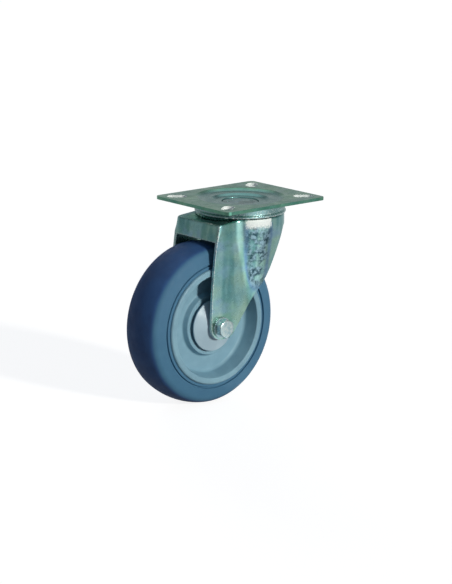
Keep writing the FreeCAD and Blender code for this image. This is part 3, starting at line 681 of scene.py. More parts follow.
@dataclass(frozen=True)
class Finishes:
    """One material for each slot of the record."""

    made: dict[str, bpy.types.Material]

    @classmethod
    def build(cls) -> "Finishes":
        """Builds every finish of the castor."""
        plain = {
            "plate_zinc": PassivatedZinc("zinc_on_plate", "5f9d8d", "80b49b", "749fa2",
                                         cloud=24, streaks=0.2),
            "fork_zinc": PassivatedZinc("zinc_on_fork", "88b9bb", "a3cbba", "8eb3d3", cloud=26),
            "pin_steel": PassivatedZinc("zinc_on_pin", "6f979a", "88aeac", "7a9cb0", cloud=10),
            "bolt_zinc": BrightZinc("zinc_on_fasteners"),
            "race_steel": GroundSteel("bearing_steel"),
            "sleeve_steel": GroundSteel("drawn_steel_tube", "8d9194", 0.3),
            "core_plastic": MouldedPlastic("polypropylene_wheel", "80a8ba", "769db0"),
            "guard_plastic": MouldedPlastic("polypropylene_guard", "adc6d4", "a2bccb", 0.36),
            "insert_plastic": MouldedPlastic("polyamide_insert", "3559a8", "2c4a90", 0.3),
            "seal_rubber": MouldedPlastic("nitrile_seal", "17181a", "101113", 0.55),
            "tyre_rubber": TyreRubber("elastic_rubber"),
        }
        return cls({slot: finish.material() for slot, finish in plain.items()})

    def put_on(self, piece: bpy.types.Object, slot: str) -> None:
        """Gives a piece a slot's material as its only one."""
        piece.data.materials.clear()
        piece.data.materials.append(self.made[slot])


@dataclass
class Workshop:
    """Puts finished pieces on their bodies."""

    finishes: Finishes

    def place(self, piece: bpy.types.Object, body: str, slot: str, *nodes: str) -> bpy.types.Object:
        """Dresses a piece, lets it ride on its body and hides the nodes that it stands for.

        Args:
            piece: The piece, as a plain mesh at the origin.
            body: The body that it rides on.
            slot: The record's slot that it takes its finish from.
            nodes: The nodes that it replaces.

        Returns:
            The piece.
        """
        self.finishes.put_on(piece, slot)
        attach(piece, body)
        if nodes:
            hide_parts(*nodes)
        LOG.info("%s: %d faces, on %s", piece.name, len(piece.data.polygons), body)
        return piece

    def dress_node(self, node: str, slot: str) -> None:
        """Gives a node that keeps its own mesh a finish."""
        self.finishes.put_on(frame["nodes"][node], slot)
        LOG.info("%s keeps its mesh, in %s", node, slot)


def paint(piece: bpy.types.Object, name: str, rule: Callable[[Vector], float],
          by_face: bool = False) -> None:
    """Stores a number at each point of a piece's mesh, or one for each whole face.

    Args:
        piece: The piece.
        name: The number's name, which a material reads.
        rule: Gives the number for a point in metres.
        by_face: Whether each face has the least number of its points, for a crisp edge.
    """
    values = [rule(vertex.co) for vertex in piece.data.vertices]
    if by_face:
        values = [min(values[i] for i in face.vertices) for face in piece.data.polygons]
    layer = piece.data.attributes.new(name, "FLOAT", "FACE" if by_face else "POINT")
    layer.data.foreach_set("value", values)


@dataclass
class SwivelHead:
    """What stays still round the fork's crown: plate, dust ring, king pin and lower cup."""

    length: float = 100
    width: float = 85
    sheet: float = 2.5
    corner: float = 4
    slot_width: float = 9
    slot_length: float = 15.5
    slot_along: float = 38.5
    slot_aside: float = 29.5
    dish_radius: float = 34.6
    dish_depth: float = 1.8
    dish_slope: float = 3.8
    press: float = 2.5
    pan_radius: float = 20.3
    pan_depth: float = 3.4
    pan_slope: float = 2
    pin_radius: float = 8.05
    pin_head: float = 13.9
    pin_pocket: float = 14.2
    pin_seat: float = 7
    pin_rise: float = 0.6
    pin_shank: float = 8
    rivet: float = 11
    dimple_pitch: float = 9.3
    dimple_angle: float = -32.5
    dimple: float = 1
    dimple_depth: float = 1.2
    ring_inside: float = 33.2
    ring_outside: float = 34.4
    ring_bottom: float = -10.98
    cup_top: float = -18.96
    cup_wall: float = 23.2
    cup_flare: float = 1.8
    cup_rim: float = 3.6
    rivet_end: float = -23.86

    def build(self, shop: Workshop) -> None:
        """Builds the four pieces and puts them on the mounting body."""
        body = "mounting"
        shop.place(self.plate(), body, "plate_zinc", "top_plate")
        shop.place(self.dust_ring(), body, "plate_zinc", "dust_ring")
        shop.place(self.pin(), body, "pin_steel", "king_pin")
        shop.place(self.cup(), body, "fork_zinc", "lower_race_cup")
        shop.dress_node("spacer_bush", "pin_steel")

    def plate(self) -> bpy.types.Object:
        """The pressed plate: a turned disc with the dish, trimmed to the outline and slotted."""
        plate = turned("plate", rounded(self.dish_section()), Axis.SWIVEL, 216)
        corners = [Corner(x * self.length / 2, y * self.width / 2, self.corner)
                   for x, y in ((1, 1), (-1, 1), (-1, -1), (1, -1))]
        outline = [Vector((x, y, -30)) * MM for x, y in rounded(corners)]
        carve(plate, prism("outline", outline, Vector((0, 0, 60)) * MM), "INTERSECT")
        for along in (-self.slot_along, self.slot_along):
            for aside in (-self.slot_aside, self.slot_aside):
                carve(plate, self.slot(along, aside))
        soften(plate, 0.35, 50)
        return self.worn(plate)

    def dish_section(self) -> list[Corner]:
        """The plate's section from the pin's hole out past its edge, top side first."""
        beyond, press = math.hypot(self.length, self.width) / 2 + 4, self.press
        floor, pan, seat = -self.dish_depth, -self.pan_depth, -self.pin_seat
        dish_shift = self.shift(self.dish_depth / self.dish_slope)
        pan_shift = self.shift((self.pan_depth - self.dish_depth) / self.pan_slope)
        wall = self.pin_pocket + self.sheet
        return [
            Corner(beyond, 0, 0),
            Corner(self.dish_radius, 0, press),
            Corner(self.dish_radius - self.dish_slope, floor, press),
            Corner(self.pan_radius + self.pan_slope, floor, press / 2),
            Corner(self.pan_radius, pan, press / 2),
            Corner(self.pin_pocket, pan, press / 4),
            Corner(self.pin_pocket, seat, 0.3),
            Corner(self.pin_radius, seat),
            Corner(self.pin_radius, seat - self.sheet),
            Corner(wall, seat - self.sheet, 1),
            Corner(wall, pan - self.sheet, 0.5),
            Corner(self.pan_radius + pan_shift, pan - self.sheet, press / 2),
            Corner(self.pan_radius + self.pan_slope + pan_shift, floor - self.sheet, press / 2),
            *UPPER_RACE.track(floor - self.sheet),
            Corner(self.dish_radius + dish_shift - self.dish_slope, floor - self.sheet, press),
            Corner(self.dish_radius + dish_shift, -self.sheet, press),
            Corner(beyond, -self.sheet, 0),
        ]

    def shift(self, grade: float) -> float:
        """How much further out the lower bend of the sheet lies than the upper one, at a grade."""
        return self.sheet * math.tan(math.atan(grade) / 2)

    def slot(self, along: float, aside: float) -> bpy.types.Object:
        """The block that cuts a slot with round ends, pointing at the plate's middle.

        Args:
            along: The slot's middle along X, in mm.
            aside: Its middle along Y, in mm.

        Returns:
            The block.
        """
        middle = Vector((along, aside, -8))
        heading = math.atan2(aside, along)
        radius, reach = self.slot_width / 2, (self.slot_length - self.slot_width) / 2
        outline = []
        for end in (1, -1):
            centre = middle + Vector((math.cos(heading), math.sin(heading), 0)) * reach * end
            for step in range(17):
                angle = heading + math.pi * (step / 16 - end / 2)
                way = Vector((math.cos(angle), math.sin(angle), 0))
                outline.append((centre + way * radius) * MM)
        return prism("slot", outline, Vector((0, 0, 16)) * MM)

    def worn(self, plate: bpy.types.Object) -> bpy.types.Object:
        """Marks the slots' walls, worn and given a painted white highlight, and the dish, which is
        drawn.
        """
        radius = self.slot_width / 2
        reach = (self.slot_length - self.slot_width) / 2
        middle = Vector((self.slot_along, self.slot_aside))
        way = middle.normalized()
        near, fully = 0.45, 6.0

        def wear_and_highlight(point: Vector) -> float:
            """How much white is painted: fully on the slots' walls, as wear and a painted
            highlight.
            """
            offset = Vector((abs(point.x / MM), abs(point.y / MM))) - middle
            run = min(max(offset.dot(way), -reach), reach)
            return fully if abs((offset - way * run).length - radius) < near else 0.0

        def drawn(point: Vector) -> float:
            """How much the sheet is drawn: in the dish."""
            out = math.hypot(point.x, point.y) / MM
            inside = self.dish_radius - self.dish_slope
            return 0.8 * (1 - smooth_step(inside, self.dish_radius, out))

        paint(plate, "edge", wear_and_highlight, by_face=True)
        paint(plate, "drawn", drawn)
        return plate

    def dust_ring(self) -> bpy.types.Object:
        """The thin ring round the upper ball row, with a rolled lip at its foot."""
        lip, bottom = self.ring_outside + 0.7, self.ring_bottom
        section = rounded([
            Corner(self.ring_inside, self.underside(self.ring_inside)),
            Corner(self.ring_inside, bottom, 0.3),
            Corner(lip, bottom, 0.5),
            Corner(lip, bottom + 1.3, 0.5),
            Corner(self.ring_outside, bottom + 2.6, 1),
            Corner(self.ring_outside, self.underside(self.ring_outside)),
        ])
        ring = turned("dust_cover", section, Axis.SWIVEL, 216)
        # The lower lip gets a painted highlight in the same white as worn edges; the rest of the
        # ring gets faint white nicks.
        paint(ring, "edge", lambda point: 1.5 if point.z / MM < bottom + 0.9 else 0.4, by_face=True)
        paint(ring, "drawn", lambda point: 1.0)
        return ring

    def underside(self, radius: float) -> float:
        """The height of the dish's sloping underside at a radius, in mm."""
        grade = self.dish_depth / self.dish_slope
        return -self.sheet - (self.dish_radius + self.shift(grade) - radius) * grade

    def pin(self) -> bpy.types.Object:
        """The turned pin: head with two dimples, shank and the riveted end under the cup."""
        top, under = -self.pan_depth - self.pin_rise, self.cup_top - self.sheet
        section = rounded([
            Corner(0, top, 0),
            Corner(self.pin_head, top, 0.6),
            Corner(self.pin_head, -self.pin_seat),
            Corner(self.pin_shank, -self.pin_seat),
            Corner(self.pin_shank, under),
            Corner(self.rivet, under),
            Corner(self.rivet, self.rivet_end, 1.2),
            Corner(0, self.rivet_end, 0),
        ])
        pin = turned("swivel_pin", section, Axis.SWIVEL, 144)
        angle = math.radians(self.dimple_angle)
        turns = [math.tau * i / 32 for i in range(32)]
        circle = [Vector((math.cos(t), math.sin(t), 0)) * self.dimple for t in turns]
        for pitch in (self.dimple_pitch, -self.dimple_pitch):
            x, y = pitch * math.cos(angle), pitch * math.sin(angle)
            middle = Vector((x, y, top - self.dimple_depth))
            rim = [(middle + point) * MM for point in circle]
            carve(pin, prism("dimple", rim, Vector((0, 0, 3)) * MM))
        soften(pin, 0.12, 50)
        return pin

    def cup(self) -> bpy.types.Object:
        """The pressed cup under the crown, with its ball track and its rim turned up."""
        wall, rim, under = self.cup_wall, self.cup_top + self.cup_rim, self.cup_top - self.sheet
        section = rounded([
            Corner(self.pin_radius, self.cup_top),
            *LOWER_RACE.track(self.cup_top),
            Corner(wall, self.cup_top, 0.8),
            Corner(wall + self.cup_flare, rim, 0.4),
            Corner(wall + self.cup_flare + self.sheet, rim, 0.4),
            Corner(wall + self.sheet / 2, under, 2),
            Corner(self.pin_radius, under),
        ])
        return turned("race_cup", section, Axis.SWIVEL, 144)


@dataclass(frozen=True)
class Skin:
    """One face of the fork's pressed sheet, given by its distance from the swivel axis.

    The +Y half is described, by an angle from +X and a depth below the plate's top face. The inset
    is how far it lies inside the outer face, bend and corner are the radii of the crown's bend and
    of the legs' corner with the panel, and the race is the ball row that runs on it. All are mm.
    """

    fork: "Fork"
    inset: float
    bend: float
    corner: float
    race: Race

    def corner_angle(self, depth: float) -> float:
        """The angle at which the leg meets the back panel or, below it, ends in the back edge."""
        fork = self.fork
        below = depth > fork.panel_end + 0.01
        shift = fork.edge_rounding if below and not self.inset else self.inset
        behind = fork.back_edge(max(depth, fork.shelf_end), shift)
        return math.atan2(fork.half - self.inset, -behind)

    def reach(self, angle: float, depth: float) -> float:
        """The distance from the swivel axis to the face.

        Args:
            angle: The way round, in radians from +X.
            depth: Down from the plate's top face, in mm.

        Returns:
            The distance, in mm.
        """
        fork, half = self.fork, self.fork.half - self.inset
        behind = angle > math.pi / 2
        leg = half / max(math.sin(angle), 0.01) if behind else half
        reach = smooth_max(fork.drum(depth) - self.inset, leg, fork.crease)
        if behind and depth <= fork.panel_end + 0.01:
            panel = fork.back_edge(depth, self.inset) / max(-math.cos(angle), 0.01)
            width = blend(0.3, self.corner, smooth_step(0, 9, fork.panel_end - depth))
            reach = smooth_min(reach, panel, width)
        return reach

    def top(self, angle: float, reach: float) -> float:
        """The depth of the crown with its ball track, or of the shelf behind it.

        Args:
            angle: The way round, in radians from +X.
            reach: The distance from the swivel axis, in mm.

        Returns:
            The depth, in mm.
        """
        fork = self.fork
        behind = max(-reach * math.cos(angle) - fork.shelf_start, 0)
        shelf = fork.shelf_step + behind * fork.shelf_fall
        limit = fork.drum_radius - self.inset
        level = fork.crown + self.inset + shelf * smooth_step(limit - 1.2, limit + 0.2, reach)
        beside = abs(reach - self.race.pitch)
        if beside >= self.race.groove:
            return level
        hollow, balls = math.sqrt(self.race.groove**2 - beside**2), -self.race.level
        return min(level, balls - hollow) if self.inset else max(level, balls + hollow)

    def radii(self, edge: float) -> list[float]:
        """The distances of the crown's points, from its hole to where the bend starts, in mm."""
        fork, groove = self.fork, self.race.groove
        half = math.sqrt(groove**2 - (groove - 0.5) ** 2)
        radii = [fork.hole_radius + fork.edge_rounding, 14.2, 16]
        radii += [self.race.pitch + half * (i / 4 - 1) for i in range(9)]
        radii += [blend(30.4, 34.8, i / 11) for i in range(12)]
        radii = [min(radius, edge) for radius in radii]
        return radii + [blend(radii[-1], edge, i / 8) for i in range(1, 9)]

    def place(self, angle: float, depth: float, reach: float | None = None) -> Vector:
        """The point at an angle and depth, on the face unless another distance is given."""
        distance = self.reach(angle, depth) if reach is None else reach
        return Vector((distance * math.cos(angle), distance * math.sin(angle), -depth)) * MM


class Outline:
    """The fork's front edge seen from the side, moved inwards to where its rounding starts."""

    def __init__(self, points: Sequence[Point], shift: float) -> None:
        """Moves the edge inwards.

        Args:
            points: Places along X and depths of the edge, from the skirt down to the foot, in mm.
            shift: How far it moves.
        """
        self.depths: list[float] = []
        self.places: list[float] = []
        self.ways: list[Vector] = []
        for i, (along, depth) in enumerate(points):
            before, after = points[max(i - 1, 0)], points[min(i + 1, len(points) - 1)]
            way = Vector((after[1] - before[1], before[0] - after[0])).normalized()
            self.ways.append(way)
            self.places.append(along - way.x * shift)
            self.depths.append(depth - way.y * shift)

    def at(self, depth: float) -> tuple[float, Vector]:
        """The edge's place along X at a depth, and the way out of the sheet there."""
        index = min(max(bisect.bisect_left(self.depths, depth), 1), len(self.depths) - 1)
        low, high = self.depths[index - 1], self.depths[index]
        share = min(max((depth - low) / max(high - low, 1e-9), 0), 1)
        way = self.ways[index - 1].lerp(self.ways[index], share)
        along = blend(self.places[index - 1], self.places[index], share)
        return along, Vector((way.x, 0, -way.y)).normalized()


@dataclass
class Fork:
    """The pressed fork: a round crown whose drum fades into flat legs joined by a back panel."""

    sheet: float = 2.5
    half: float = 25
    crown: float = 11.38
    hole_radius: float = 13.6
    drum_radius: float = 34
    drum_straight: float = 24
    drum_fade: float = 1 / 6
    crease: float = 3
    shelf_start: float = 23.04
    shelf_end: float = 13.8
    shelf_step: float = 0.4
    shelf_fall: float = 0.1022
    panel_bottom: float = 27
    axle_x: float = -40
    axle_depth: float = 92.5
    foot_radius: float = 9.6
    bore: float = 4.15
    throat: Corner = Corner(19.5, 20.5, 6)
    knee: Corner = Corner(2.8, 58.5, 60)
    foot_front: float = 10.2
    edge_lean: float = 6.8
    edge_rounding: float = 0.4
    leg_columns: int = 110
    panel_columns: int = 16
    upper_rows: int = 12
    lower_rows: int = 64

    @property
    def panel_end(self) -> float:
        """The depth where the rounding of the panel's lower edge starts."""
        return self.panel_bottom - self.edge_rounding

    @property
    def foot_end(self) -> float:
        """The depth where the rounding under the foot starts."""
        return self.axle_depth + self.foot_radius - self.edge_rounding

    def back_edge(self, depth: float, shift: float = 0) -> float:
        """How far behind the swivel axis the leg's back edge is: a long arc, then the round foot.

        Args:
            depth: Down from the plate's top face, in mm.
            shift: How far inside the edge the line lies, in mm.

        Returns:
            The distance, in mm.
        """
        below = depth - self.axle_depth
        if below > 0:
            return -self.axle_x + math.sqrt(max((self.foot_radius - shift) ** 2 - below**2, 0))
        rise = self.axle_depth - self.shelf_end
        radius = (rise**2 + self.edge_lean**2) / 2 / self.edge_lean
        return self.foot_radius - self.axle_x - shift - radius + math.sqrt(radius**2 - below**2)

    def drum(self, depth: float) -> float:
        """The drum's radius at a depth: straight, then a cone that runs into the legs."""
        cone = self.drum_radius - (depth - self.drum_straight) * self.drum_fade
        return smooth_min(self.drum_radius, cone, 1)

    def front_outline(self) -> Outline:
        """The front edge: the skirt, the throat, the swept knee and the round foot."""
        foot = self.axle_depth + self.foot_radius
        # The ends lie beyond the sheet, so that every column meets the edge.
        corners = [
            Corner(102.5, 18.5, 0),
            self.throat,
            self.knee,
            Corner(self.axle_x + self.foot_front, foot, 9),
            Corner(-60, foot, 0),
        ]
        return Outline(rounded(corners, closed=False), self.edge_rounding)

    def crown_column(self, face: Skin, angle: Callable[[float], float]) -> list[Vector]:
        """The points from the crown's hole out, round the bend and down to the panel's lower edge.

        Args:
            face: The face of the sheet.
            angle: The column's angle at each depth.

        Returns:
            The points, in metres.
        """
        start = self.shelf_end
        for _ in range(4):
            edge = face.reach(angle(start), start) - face.bend
            start = face.top(angle(start), edge) + face.bend
        turn = angle(self.shelf_end)
        points = [face.place(turn, face.top(turn, radius), radius) for radius in face.radii(edge)]
        for i in range(1, 9):
            bent = math.pi / 2 * i / 8
            depth = start - face.bend * math.cos(bent)
            points.append(face.place(angle(depth), depth, edge + face.bend * math.sin(bent)))
        return points

    def column(self, face: Skin, angle: Callable[[float], float], end: float) -> list[Vector]:
        """A whole column of points, down to a depth."""
        points = self.crown_column(face, angle)
        start, middle = -points[-1].z / MM, min(self.panel_end, end)
        depths = [blend(start, middle, i / self.upper_rows) for i in range(1, self.upper_rows + 1)]
        first = min(self.panel_end + 0.1, end)
        for i in range(self.lower_rows + 1):
            even = i / self.lower_rows
            close_at_foot = blend(even, 1 - (1 - even) ** 2, smooth_step(0.5, 1, even))
            depths.append(blend(first, end, close_at_foot))
        return points + [face.place(angle(depth), depth) for depth in depths]

    def leg_columns_of(self, face: Skin, outline: Outline) -> tuple[Rows, list[Vector]]:
        """The columns of the drum and leg, from front to back, and the way out under each.

        Args:
            face: The face of the sheet.
            outline: The front edge that they end on.

        Returns:
            The columns' points and the ways, in metres.
        """
        columns, ways = [], []
        for i in range(self.leg_columns + 1):
            close_at_back = 1 - (1 - i / self.leg_columns) ** 1.6

            def angle(depth: float, share: float = close_at_back) -> float:
                """The column's angle at a depth: its share of the corner's angle."""
                return share * face.corner_angle(depth)

            low, high = self.crown + self.sheet + face.bend, self.foot_end
            while high - low > 1e-7:
                middle = (low + high) / 2
                beyond = face.place(angle(middle), middle).x / MM > outline.at(middle)[0]
                low, high = (low, middle) if beyond else (middle, high)
            columns.append(self.column(face, angle, low))
            ways.append(outline.at(low)[1])
        ways[-1] = Vector((0, 0, -1))
        return columns, ways

    def panel_columns_of(self, face: Skin) -> Rows:
        """The columns of the back panel, from the leg's corner to the middle."""
        columns = []
        for i in range(self.panel_columns + 1):

            def angle(depth: float, share: float = i / self.panel_columns) -> float:
                """The column's angle at a depth: its share of the way to the middle."""
                return blend(face.corner_angle(min(depth, self.panel_end)), math.pi, share)

            columns.append(self.column(face, angle, self.panel_end))
        return columns

    def back_strip(self, corner: list[Vector]) -> Rows:
        """The columns between the panel's inner corner and the leg's back edge, below the panel.

        Args:
            corner: The inner face's column at the corner.

        Returns:
            The columns, from the corner to the edge.
        """
        inner, steps = corner[-self.lower_rows - 1:], 3
        edge = []
        for point in inner:
            along = -self.back_edge(-point.z / MM, self.edge_rounding) * MM
            edge.append(Vector((along, point.y, point.z)))
        return [[a.lerp(b, i / steps) for a, b in zip(inner, edge)] for i in range(steps + 1)]

    def rim(self, outer: list[Vector], inner: list[Vector], outer_ways: list[Vector],
            inner_ways: list[Vector]) -> Rows:
        """The sheet's thickness between the ends of its two faces, with both edges rounded.

        Args:
            outer: The points where the outer face ends.
            inner: Those where the inner face ends.
            outer_ways: The way out of the sheet at each outer point.
            inner_ways: The way out at each inner point.

        Returns:
            The rows of the rim, from face to face.
        """
        radius, steps = self.edge_rounding * MM, 4
        turns = [math.pi / 2 * i / steps for i in range(steps + 1)]
        rows: Rows = []
        for first, last, way, other in zip(outer, inner, outer_ways, inner_ways):
            across = (last - first).normalized() * radius
            near = [first + way * radius * math.sin(t) + across * (1 - math.cos(t)) for t in turns]
            far = [last + other * radius * math.sin(t) - across * (1 - math.cos(t)) for t in turns]
            rows.append(near + far[::-1])
        return rows

    def build_mesh(self) -> bpy.types.Object:
        """The whole sheet: both faces, every rim, and the mirrored half."""
        outline = self.front_outline()
        outside = Skin(self, inset=0, bend=2.2, corner=4, race=UPPER_RACE)
        inside = Skin(self, inset=self.sheet, bend=1.1, corner=2, race=LOWER_RACE)
        outer, outer_ways = self.leg_columns_of(outside, outline)
        inner, inner_ways = self.leg_columns_of(inside, outline)
        outer_panel, inner_panel = self.panel_columns_of(outside), self.panel_columns_of(inside)
        strip = self.back_strip(inner[-1])

        down = Vector((0, 0, -1))
        sides = (outer + outer_panel, inner + inner_panel)
        hole = [[column[0] for column in side] for side in sides]
        to_axis = [Vector((-p.x, -p.y, 0)).normalized() for p in hole[0]]
        back = outer[-1][-self.lower_rows - 1:]
        along = [back[min(i + 1, len(back) - 1)] - back[max(i - 1, 0)] for i in range(len(back))]
        back_ways = [Vector((0, 1, 0)).cross(way).normalized() for way in along]
        back_ways[-1] = down
        faces = (outer, inner, outer_panel, inner_panel)
        ends = [[column[-1] for column in side] for side in faces]
        downs = [down] * len(outer_panel)
        rims = [
            self.rim(hole[0], hole[1], to_axis, to_axis),
            self.rim(ends[0], ends[1], outer_ways, inner_ways),
            self.rim(ends[2], ends[3], downs, downs),
            self.rim(back, strip[-1], back_ways, back_ways),
        ]
        half = [face for rows in (*faces, strip, *rims) for face in grid_faces(rows)]
        mirrored = [[Vector((p.x, -p.y, p.z)) for p in face] for face in half]
        fork = sewn("fork_pressing", half + mirrored)
        keep_flats(fork)
        return fork

    def wear_and_highlight(self, point: Vector) -> float:
        """How much white is painted at a point: wear along the back edges of the legs and panel,
        and a painted highlight on each bulge.
        """
        along, depth = -point.x / MM, -point.z / MM
        if depth < self.shelf_end - 1.5:
            return 0.0
        behind = self.back_edge(depth) - along
        # Below the panel: the back edges of the legs, and the panel's own lower edge.
        if depth > self.panel_bottom - 0.6:
            under = depth < self.panel_bottom + 0.1 and abs(point.y / MM) < self.half - 0.6
            return 1.0 if behind < 0.55 or (under and along > 30) else 0.0
        # Beside the panel: its corners with the legs, and the bend above it.
        corner = behind < 1.2 and self.half - abs(point.y / MM) < 1.2
        if corner or (behind < 1 and depth < self.shelf_end + 0.7):
            return 1.0
        # On the sides of the drum: a painted highlight, white, at the top of the bulge.
        turn = abs(math.degrees(math.atan2(point.y, point.x)))
        side = smooth_step(86, 90, turn) * (1 - smooth_step(120, 126, turn))
        return 6 * side * (1 - smooth_step(self.shelf_end + 2, self.shelf_end + 6, depth))

    def stretch_and_reflection(self, point: Vector) -> float:
        """How far the sheet stretches at a point, on each side of the drum above the legs, where
        its mottle is partly a painted reflection.
        """
        depth, turn = -point.z / MM, abs(math.degrees(math.atan2(point.y, point.x)))
        proud = smooth_step(self.half + 0.2, self.half + 1.2, abs(point.y) / MM)
        upright = smooth_step(14, 17, depth) * (1 - smooth_step(60, 72, depth))
        return proud * upright * smooth_step(82, 93, turn) * (1 - smooth_step(117, 129, turn))

    def build(self, shop: Workshop) -> None:
        """Builds the sheet, bores it for the bolt and marks its wear, its painted highlights and
        where it stretches.
        """
        fork = self.build_mesh()
        turns = [math.tau * i / 40 for i in range(40)]
        middle = Vector((self.axle_x, -30, -self.axle_depth))
        hole = [(middle + Vector((math.cos(t), 0, math.sin(t))) * self.bore) * MM for t in turns]
        carve(fork, prism("bore", hole, Vector((0, 60, 0)) * MM))
        keep_flats(fork)
        paint(fork, "edge", self.wear_and_highlight)
        paint(fork, "stretch", self.stretch_and_reflection)
        shop.place(fork, "fork", "fork_zinc", "fork")


@dataclass(frozen=True)
class Grower:
    """A shape grown by Geometry Nodes from named inputs, as a plain mesh."""

    label = "grower"

    def inputs(self) -> dict[str, tuple[str, object]]:
        """For each input's name, the kind of its socket and its value."""
        return {}

    def grow(self, wiring: Wiring, given: bpy.types.bpy_prop_collection) -> bpy.types.NodeSocket:
        """Adds the nodes that make the shape.

        Args:
            wiring: The tree that they are added to.
            given: The tree's named inputs.

        Returns:
            The shape's geometry.
        """
        raise NotImplementedError

    def mesh(self, name: str, material: bpy.types.Material) -> bpy.types.Object:
        """Builds the tree, sets its inputs and turns its result into a plain mesh.

        Args:
            name: The piece's name.
            material: The finish that the tree gives it.

        Returns:
            The piece, with no modifier left on it.
        """
        tree = bpy.data.node_groups.new(self.label, "GeometryNodeTree")
        face = tree.interface
        face.new_socket("Geometry", in_out="OUTPUT", socket_type="NodeSocketGeometry")
        inputs = self.inputs() | {"Finish": ("Material", material)}
        sockets = {key: face.new_socket(key, in_out="INPUT", socket_type=f"NodeSocket{kind}")
                   for key, (kind, _) in inputs.items()}
        wiring = Wiring(tree)
        given = wiring.add("NodeGroupInput").node.outputs
        real = wiring.add("GeometryNodeRealizeInstances", {"Geometry": self.grow(wiring, given)})
        smooth = wiring.add("GeometryNodeSetShadeSmooth", {"Geometry": real})
        dressed = wiring.add("GeometryNodeSetMaterial",
                             {"Geometry": smooth, "Material": given["Finish"]})
        wiring.add("NodeGroupOutput", {0: dressed})
        piece = finished(name, bpy.data.meshes.new(name))
        modifier = piece.modifiers.new(self.label, "NODES")
        modifier.node_group = tree
        for key, (_, value) in inputs.items():
            modifier[sockets[key].identifier] = value
        plain_mesh(piece)
        return piece


@dataclass(frozen=True)
class BallRow(Grower):
    """Loose balls in one or more rows round an axis.

    Sizes are mm. The place is the middle of the first row, in metres, and the turn is in radians.
    """

    label = "ball_row"
    count: int
    pitch: float
    ball: float
    place: Vector
    turn: tuple[float, float, float] = (0, 0, 0)
    rows: int = 1
    gap: float = 0

    def inputs(self) -> dict[str, tuple[str, object]]:
        """The rows' sizes and where the first one stands."""
        return {
            "Count": ("Int", self.count),
            "Pitch Radius": ("Float", self.pitch * MM),
            "Ball Radius": ("Float", self.ball * MM),
            "Rows": ("Int", self.rows),
            "Row Gap": ("Float", self.gap * MM),
            "First Row": ("Vector", self.place),
            "Turn": ("Vector", self.turn),
        }

    def grow(self, wiring: Wiring, given: bpy.types.bpy_prop_collection) -> bpy.types.NodeSocket:
        """A ball on each point of a circle, and a circle for each row."""
        ball = wiring.add("GeometryNodeMeshUVSphere",
                          {"Segments": 28, "Rings": 16, "Radius": given["Ball Radius"]})
        ring = wiring.add("GeometryNodeMeshCircle",
                          {"Vertices": given["Count"], "Radius": given["Pitch Radius"]})
        balls = wiring.add("GeometryNodeInstanceOnPoints", {"Points": ring, "Instance": ball})
        step = wiring.add("ShaderNodeCombineXYZ", {"Z": given["Row Gap"]})
        line = wiring.add("GeometryNodeMeshLine", {"Count": given["Rows"], "Offset": step})
        rows = wiring.add("GeometryNodeInstanceOnPoints", {"Points": line, "Instance": balls})
        return wiring.add("GeometryNodeTransform", {
            "Geometry": rows, "Translation": given["First Row"], "Rotation": given["Turn"],
        })


@dataclass(frozen=True)
class Thread(Grower):
    """The ridge of a screw thread along the axle, from a place in metres. Sizes are mm."""

    label = "thread"
    root: float
    pitch: float
    turns: float
    place: Vector

    def inputs(self) -> dict[str, tuple[str, object]]:
        """The thread's sizes and where it starts."""
        return {
            "Root Radius": ("Float", self.root * MM),
            "Turns": ("Float", self.turns),
            "Length": ("Float", self.turns * self.pitch * MM),
            "Ridge": ("Float", self.pitch * 0.4 * MM),
            "Start": ("Vector", self.place),
        }

    def grow(self, wiring: Wiring, given: bpy.types.bpy_prop_collection) -> bpy.types.NodeSocket:
        """A four-sided ridge along a spiral, turned onto the axle."""
        spiral = wiring.add("GeometryNodeCurveSpiral", {
            "Resolution": 40, "Rotations": given["Turns"], "Start Radius": given["Root Radius"],
            "End Radius": given["Root Radius"], "Height": given["Length"],
        })
        profile = wiring.add("GeometryNodeCurvePrimitiveCircle",
                             {"Resolution": 4, "Radius": given["Ridge"]})
        ridge = wiring.add("GeometryNodeCurveToMesh",
                           {"Curve": spiral, "Profile Curve": profile, "Fill Caps": True})
        return wiring.add("GeometryNodeTransform", {
            "Geometry": ridge, "Translation": given["Start"], "Rotation": (-math.pi / 2, 0, 0),
        })


